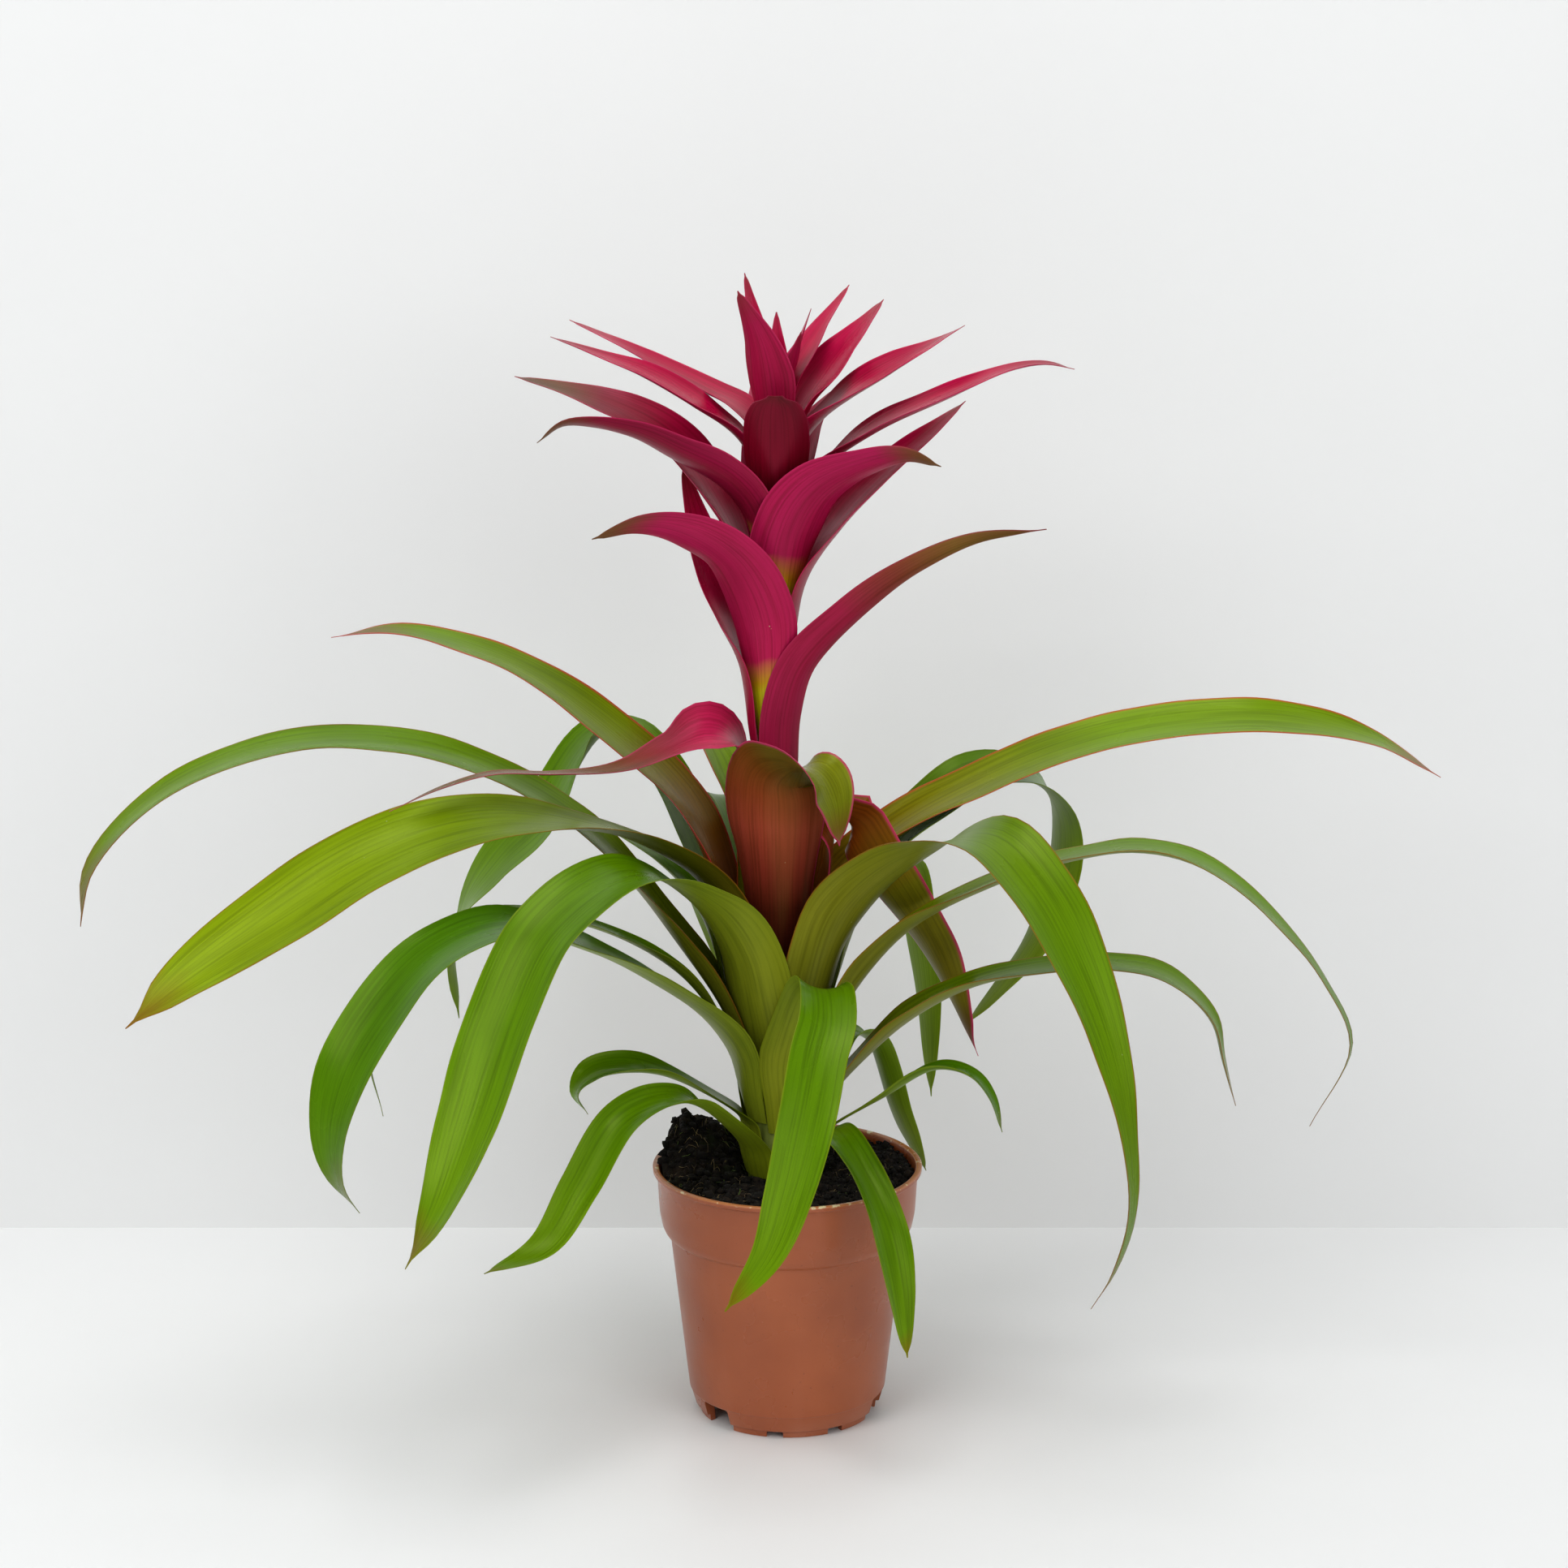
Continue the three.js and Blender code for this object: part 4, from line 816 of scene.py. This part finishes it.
bracts = {
    "bract_left_low": ("pink", dict(az=195, root=262, wide=32, wrap=45, widths=TAILED, rows=[
        (20, 309, 0, -25), (31, 313, 0, -42), (47, 307, 1, -38), (68, 299, 2, -15), (100, 299, 4),
        (126, 301, 4), (150, 296, 4), (171, 288, 4)])),
    "bract_front_right_low": ("tailed", dict(az=285, root=268, wide=17, wrap=50, widths=SLIM_BRACT, rows=[
        (11, 320, 5), (16, 342, 25), (36, 366, 48), (62, 386, 52), (90, 400, 53), (122, 406, 53)])),
    "bract_left_inner": ("bright", dict(az=172, root=285, wide=32, wrap=50, rows=[
        (14, 339), (22, 361, 0, -15), (28, 380, 0, -35), (32, 398, 0, -50), (36, 414, 0, -50),
        (39, 427, 0, -50)])),
    "bract_front_left_mid": ("patched", dict(az=255, root=300, wide=31, wrap=46, rows=[
        (13, 362, -5), (28, 388, -20), (50, 403, -30, 18), (73, 408, -34, 22), (95, 404, -36, 14)])),
    "bract_back_low": ("magenta", dict(az=95, root=312, wide=26, wrap=50, rows=[
        (15, 366), (31, 396), (55, 412), (80, 408)])),
    "bract_right_under": ("bright", dict(az=6, root=325, wide=36, wrap=55, rows=[
        (14, 376), (28, 400, 0, 10), (48, 422, 0, 20), (68, 440, 0, 25), (83, 453, 0, 15)])),
    "bract_front_right_mid": ("wide_patched", dict(az=290, root=342, wide=34, rows=[
        (16, 400, 8), (26, 418, 24), (46, 430, 36), (64, 435, 40), (79, 431, 42)])),
    "bract_left_mid": ("dry_tipped", dict(az=169, root=352, sheath=22, wide=36, wrap=37, rows=[
        (26, 410, 0, -10), (46, 436, 0, -20), (74, 452, 2, -25), (112, 463, 4, -10)])),
    "bract_back_mid": ("magenta", dict(az=95, root=360, sheath=22, wide=28, wrap=55, rows=[
        (20, 415), (40, 440), (64, 452), (90, 458)])),
    "bract_front_left_high": ("magenta", dict(az=228, root=368, sheath=18, wide=30, wrap=36, rows=[
        (13, 407, -6), (25, 421, -12), (45, 433, -22), (64, 443, -27), (92, 448, -30), (104, 440, -31)])),
    "bract_right_high": ("bright", dict(az=345, root=377, sheath=18, wide=28, wrap=60, rows=[
        (19, 423), (44, 443, 0, 12), (76, 459, 0, 18), (100, 470, 0, 15), (116, 473, 0, 10), (128, 471)])),
    "bract_back_right": ("bright", dict(az=52, root=385, sheath=18, wide=24, wrap=50, rows=[
        (17, 430), (28, 446), (42, 456)])),
    "bract_front_scoop": ("scoop", dict(az=268, root=392, sheath=18, wide=31, widths=SCOOP, tip=1.5, rows=[
        (15, 428), (20, 444), (26, 459)])),
    "bract_left_high": ("bright", dict(az=181, root=398, sheath=16, wide=28, wrap=40, rows=[
        (16, 437), (36, 453, 2, -8), (57, 466, 4, -14), (78, 475, 4, -10), (96, 482, 4)])),
    "bract_back_left": ("bright", dict(az=141, root=404, sheath=16, wide=21, wrap=45, rows=[
        (10, 440), (21, 450, 1), (37, 456, 4), (60, 465, 6), (84, 475, 7), (108, 483, 7)])),
    "bract_right_upper": ("bright", dict(az=352, root=410, sheath=14, wide=33, wrap=60, rows=[
        (14, 441), (31, 457, 0, 15), (49, 469, 0, 22), (64, 478, 0, 15), (79, 487)])),
    "bract_right_top": ("bright", dict(az=26, root=416, sheath=14, wide=34, wrap=60, rows=[
        (12, 449), (24, 466, 0, 12), (37, 481, 0, 12), (50, 495)])),
    "bract_front_left_top": ("bright", dict(az=245, root=421, sheath=14, wide=28, wrap=60, rows=[
        (10, 456), (15, 480, -8), (25, 502, -18)])),
    "bract_back_top": ("bright", dict(az=140, root=426, sheath=12, wide=20, wrap=45, rows=[
        (9, 460), (13, 482), (19, 507)])),
    "bract_back_right_top": ("bright", dict(az=50, root=431, sheath=12, wide=16, wrap=40, rows=[
        (8, 462), (25, 481), (47, 500)])),
}
FIRST_BRACT_SHIFT = 40  # keeps the bracts' veins and ripples apart from the leaves'
for shift, (node, (colouring, form)) in enumerate(bracts.items(), FIRST_BRACT_SHIFT):
    grow(node + "_blade", [blade(**BRACT_FORM | form, shift=shift)], BRACT_FINISHES[colouring], node, "bract")

# The crown: the innermost bracts, still a tight tuft round the shut flower bud on the stalk's end. They are
# the same bright magenta as the bracts under them, and grow together at the foot, so they are one piece.
inner_bracts = [
    dict(az=5, wide=14, rows=[(6, 466), (9, 479), (13.5, 493)]),
    dict(az=100, wide=12, rows=[(5, 464), (6, 478), (7, 491)]),
    dict(az=200, wide=12, rows=[(5, 462), (8, 474), (11, 485)]),
    dict(az=320, wide=15, rows=[(5, 461), (8, 472), (12, 484)]),
]
INNER_FORM = dict(root=444, sheath=8, slope=0.1, wrap=60, cup=40, widths=BRACT_WIDTHS, steps=36, columns=12)
tuft = [blade(**INNER_FORM | form, shift=shift) for shift, form in enumerate(inner_bracts, 80)]
bud_profile = [
    (0, 440.3, 0), (2.8, 440.5, 0.5), (4.6, 447, 3), (4.8, 457, 4), (3.6, 467, 4), (0, 474, 0)]
bud_points, bud_faces = turned(rounded(bud_profile), 32)
bud_points = off_axis(bud_points)
bud_marks = [((z - STEM_HIGH) / 40, 5.0, 1.0) for _, _, z in bud_points]
tuft.append((bud_points, bud_faces, bud_marks, [(x, z) for x, _, z in bud_points]))
grow("crown_tuft", tuft, BRACT_FINISHES["bright"], "crown", "bract")

# The studio: a wide white table with a pale wall standing on it close behind the plant, both in matt paint.
# The wall has one side only: seen from behind it is clear, so that the plant's back shows through it. Sizes
# from here on are in metres.
def studio_paint(name):
    coat = Finish(name, 0.5)
    mottle = coat.noise(coat.add("TexCoord", output="Object"), 3, 3)
    coat.feed(coat.shader, {"Base Color": coat.ramp(mottle, [(0.3, "#e2e3e3"), (0.7, "#e5e6e6")])})
    return coat


def board(name, corners, material):
    mesh = bpy.data.meshes.new(name)
    mesh.from_pydata(corners, [], [(0, 1, 2, 3)])
    mesh.materials.append(material)
    made = bpy.data.objects.new(name, mesh)
    bpy.context.scene.collection.objects.link(made)


REACH = 12  # of the table and the wall to each side
WALL_Y, WALL_H = 0.231, 4
table_paint = studio_paint("studio_white")
board("table_top", [(-REACH, -REACH, 0), (REACH, -REACH, 0), (REACH, REACH, 0), (-REACH, REACH, 0)],
      table_paint.material)

wall_paint = studio_paint("one_sided_wall")
from_behind = wall_paint.add("NewGeometry", output="Backfacing")
clear = wall_paint.add("BsdfTransparent")
both_sides = wall_paint.add("MixShader", {0: from_behind, 1: wall_paint.shader.outputs[0], 2: clear})
wall_paint.feed(wall_paint.nodes["Material Output"], {"Surface": both_sides})
board("wall", [(-REACH, WALL_Y, 0), (REACH, WALL_Y, 0), (REACH, WALL_Y, WALL_H), (-REACH, WALL_Y, WALL_H)],
      wall_paint.material)


# The light: soft boxes above the camera's left, at its right and overhead, and pale air all round. Their
# powers are in watts, and were set by the shadows and the gloss in the photograph.
def soft_box(name, place, aim, width, height, power):
    lamp = bpy.data.lights.new(name, "AREA")
    lamp.shape, lamp.size, lamp.size_y, lamp.energy = "RECTANGLE", width, height, power
    made = bpy.data.objects.new(name, lamp)
    made.location = place
    made.rotation_euler = (Vector(aim) - Vector(place)).to_track_quat("-Z", "Y").to_euler()
    bpy.context.scene.collection.objects.link(made)


soft_box("key", (-1.3, -1.6, 2.0), (0, 0, 0.25), 1.6, 1.6, 31)
soft_box("fill", (1.2, -2.1, 1.1), (0, 0, 0.25), 1.8, 1.6, 17)
soft_box("overhead", (0, -0.5, 2.3), (0, 0.1, 0.6), 1.2, 1.0, 18)
world = bpy.data.worlds.new("studio_air")
world.use_nodes = True
air = world.node_tree.nodes["Background"].inputs
air["Color"].default_value = (1, 1, 1, 1)
air["Strength"].default_value = 0.37
bpy.context.scene.world = world
bpy.context.scene.view_settings.view_transform = "Standard"

# The camera stands where the photograph's did. Its height, its tilt and its lens were worked out from the
# pot's rim and foot.
PHOTO_SIDE, FOCAL_LENGTH = 1932, 4357  # in the photograph's pixels
SENSOR_MM = 36
LOOKS_DOWN = 12.76
camera = bpy.data.objects.new("camera", bpy.data.cameras.new("camera"))
camera.location = (-0.0015, -1.5, 0.627)
camera.rotation_euler = (math.radians(90 - LOOKS_DOWN), 0, 0)
camera.data.sensor_width = SENSOR_MM
camera.data.lens = SENSOR_MM * FOCAL_LENGTH / PHOTO_SIDE
bpy.context.scene.collection.objects.link(camera)
bpy.context.scene.camera = camera
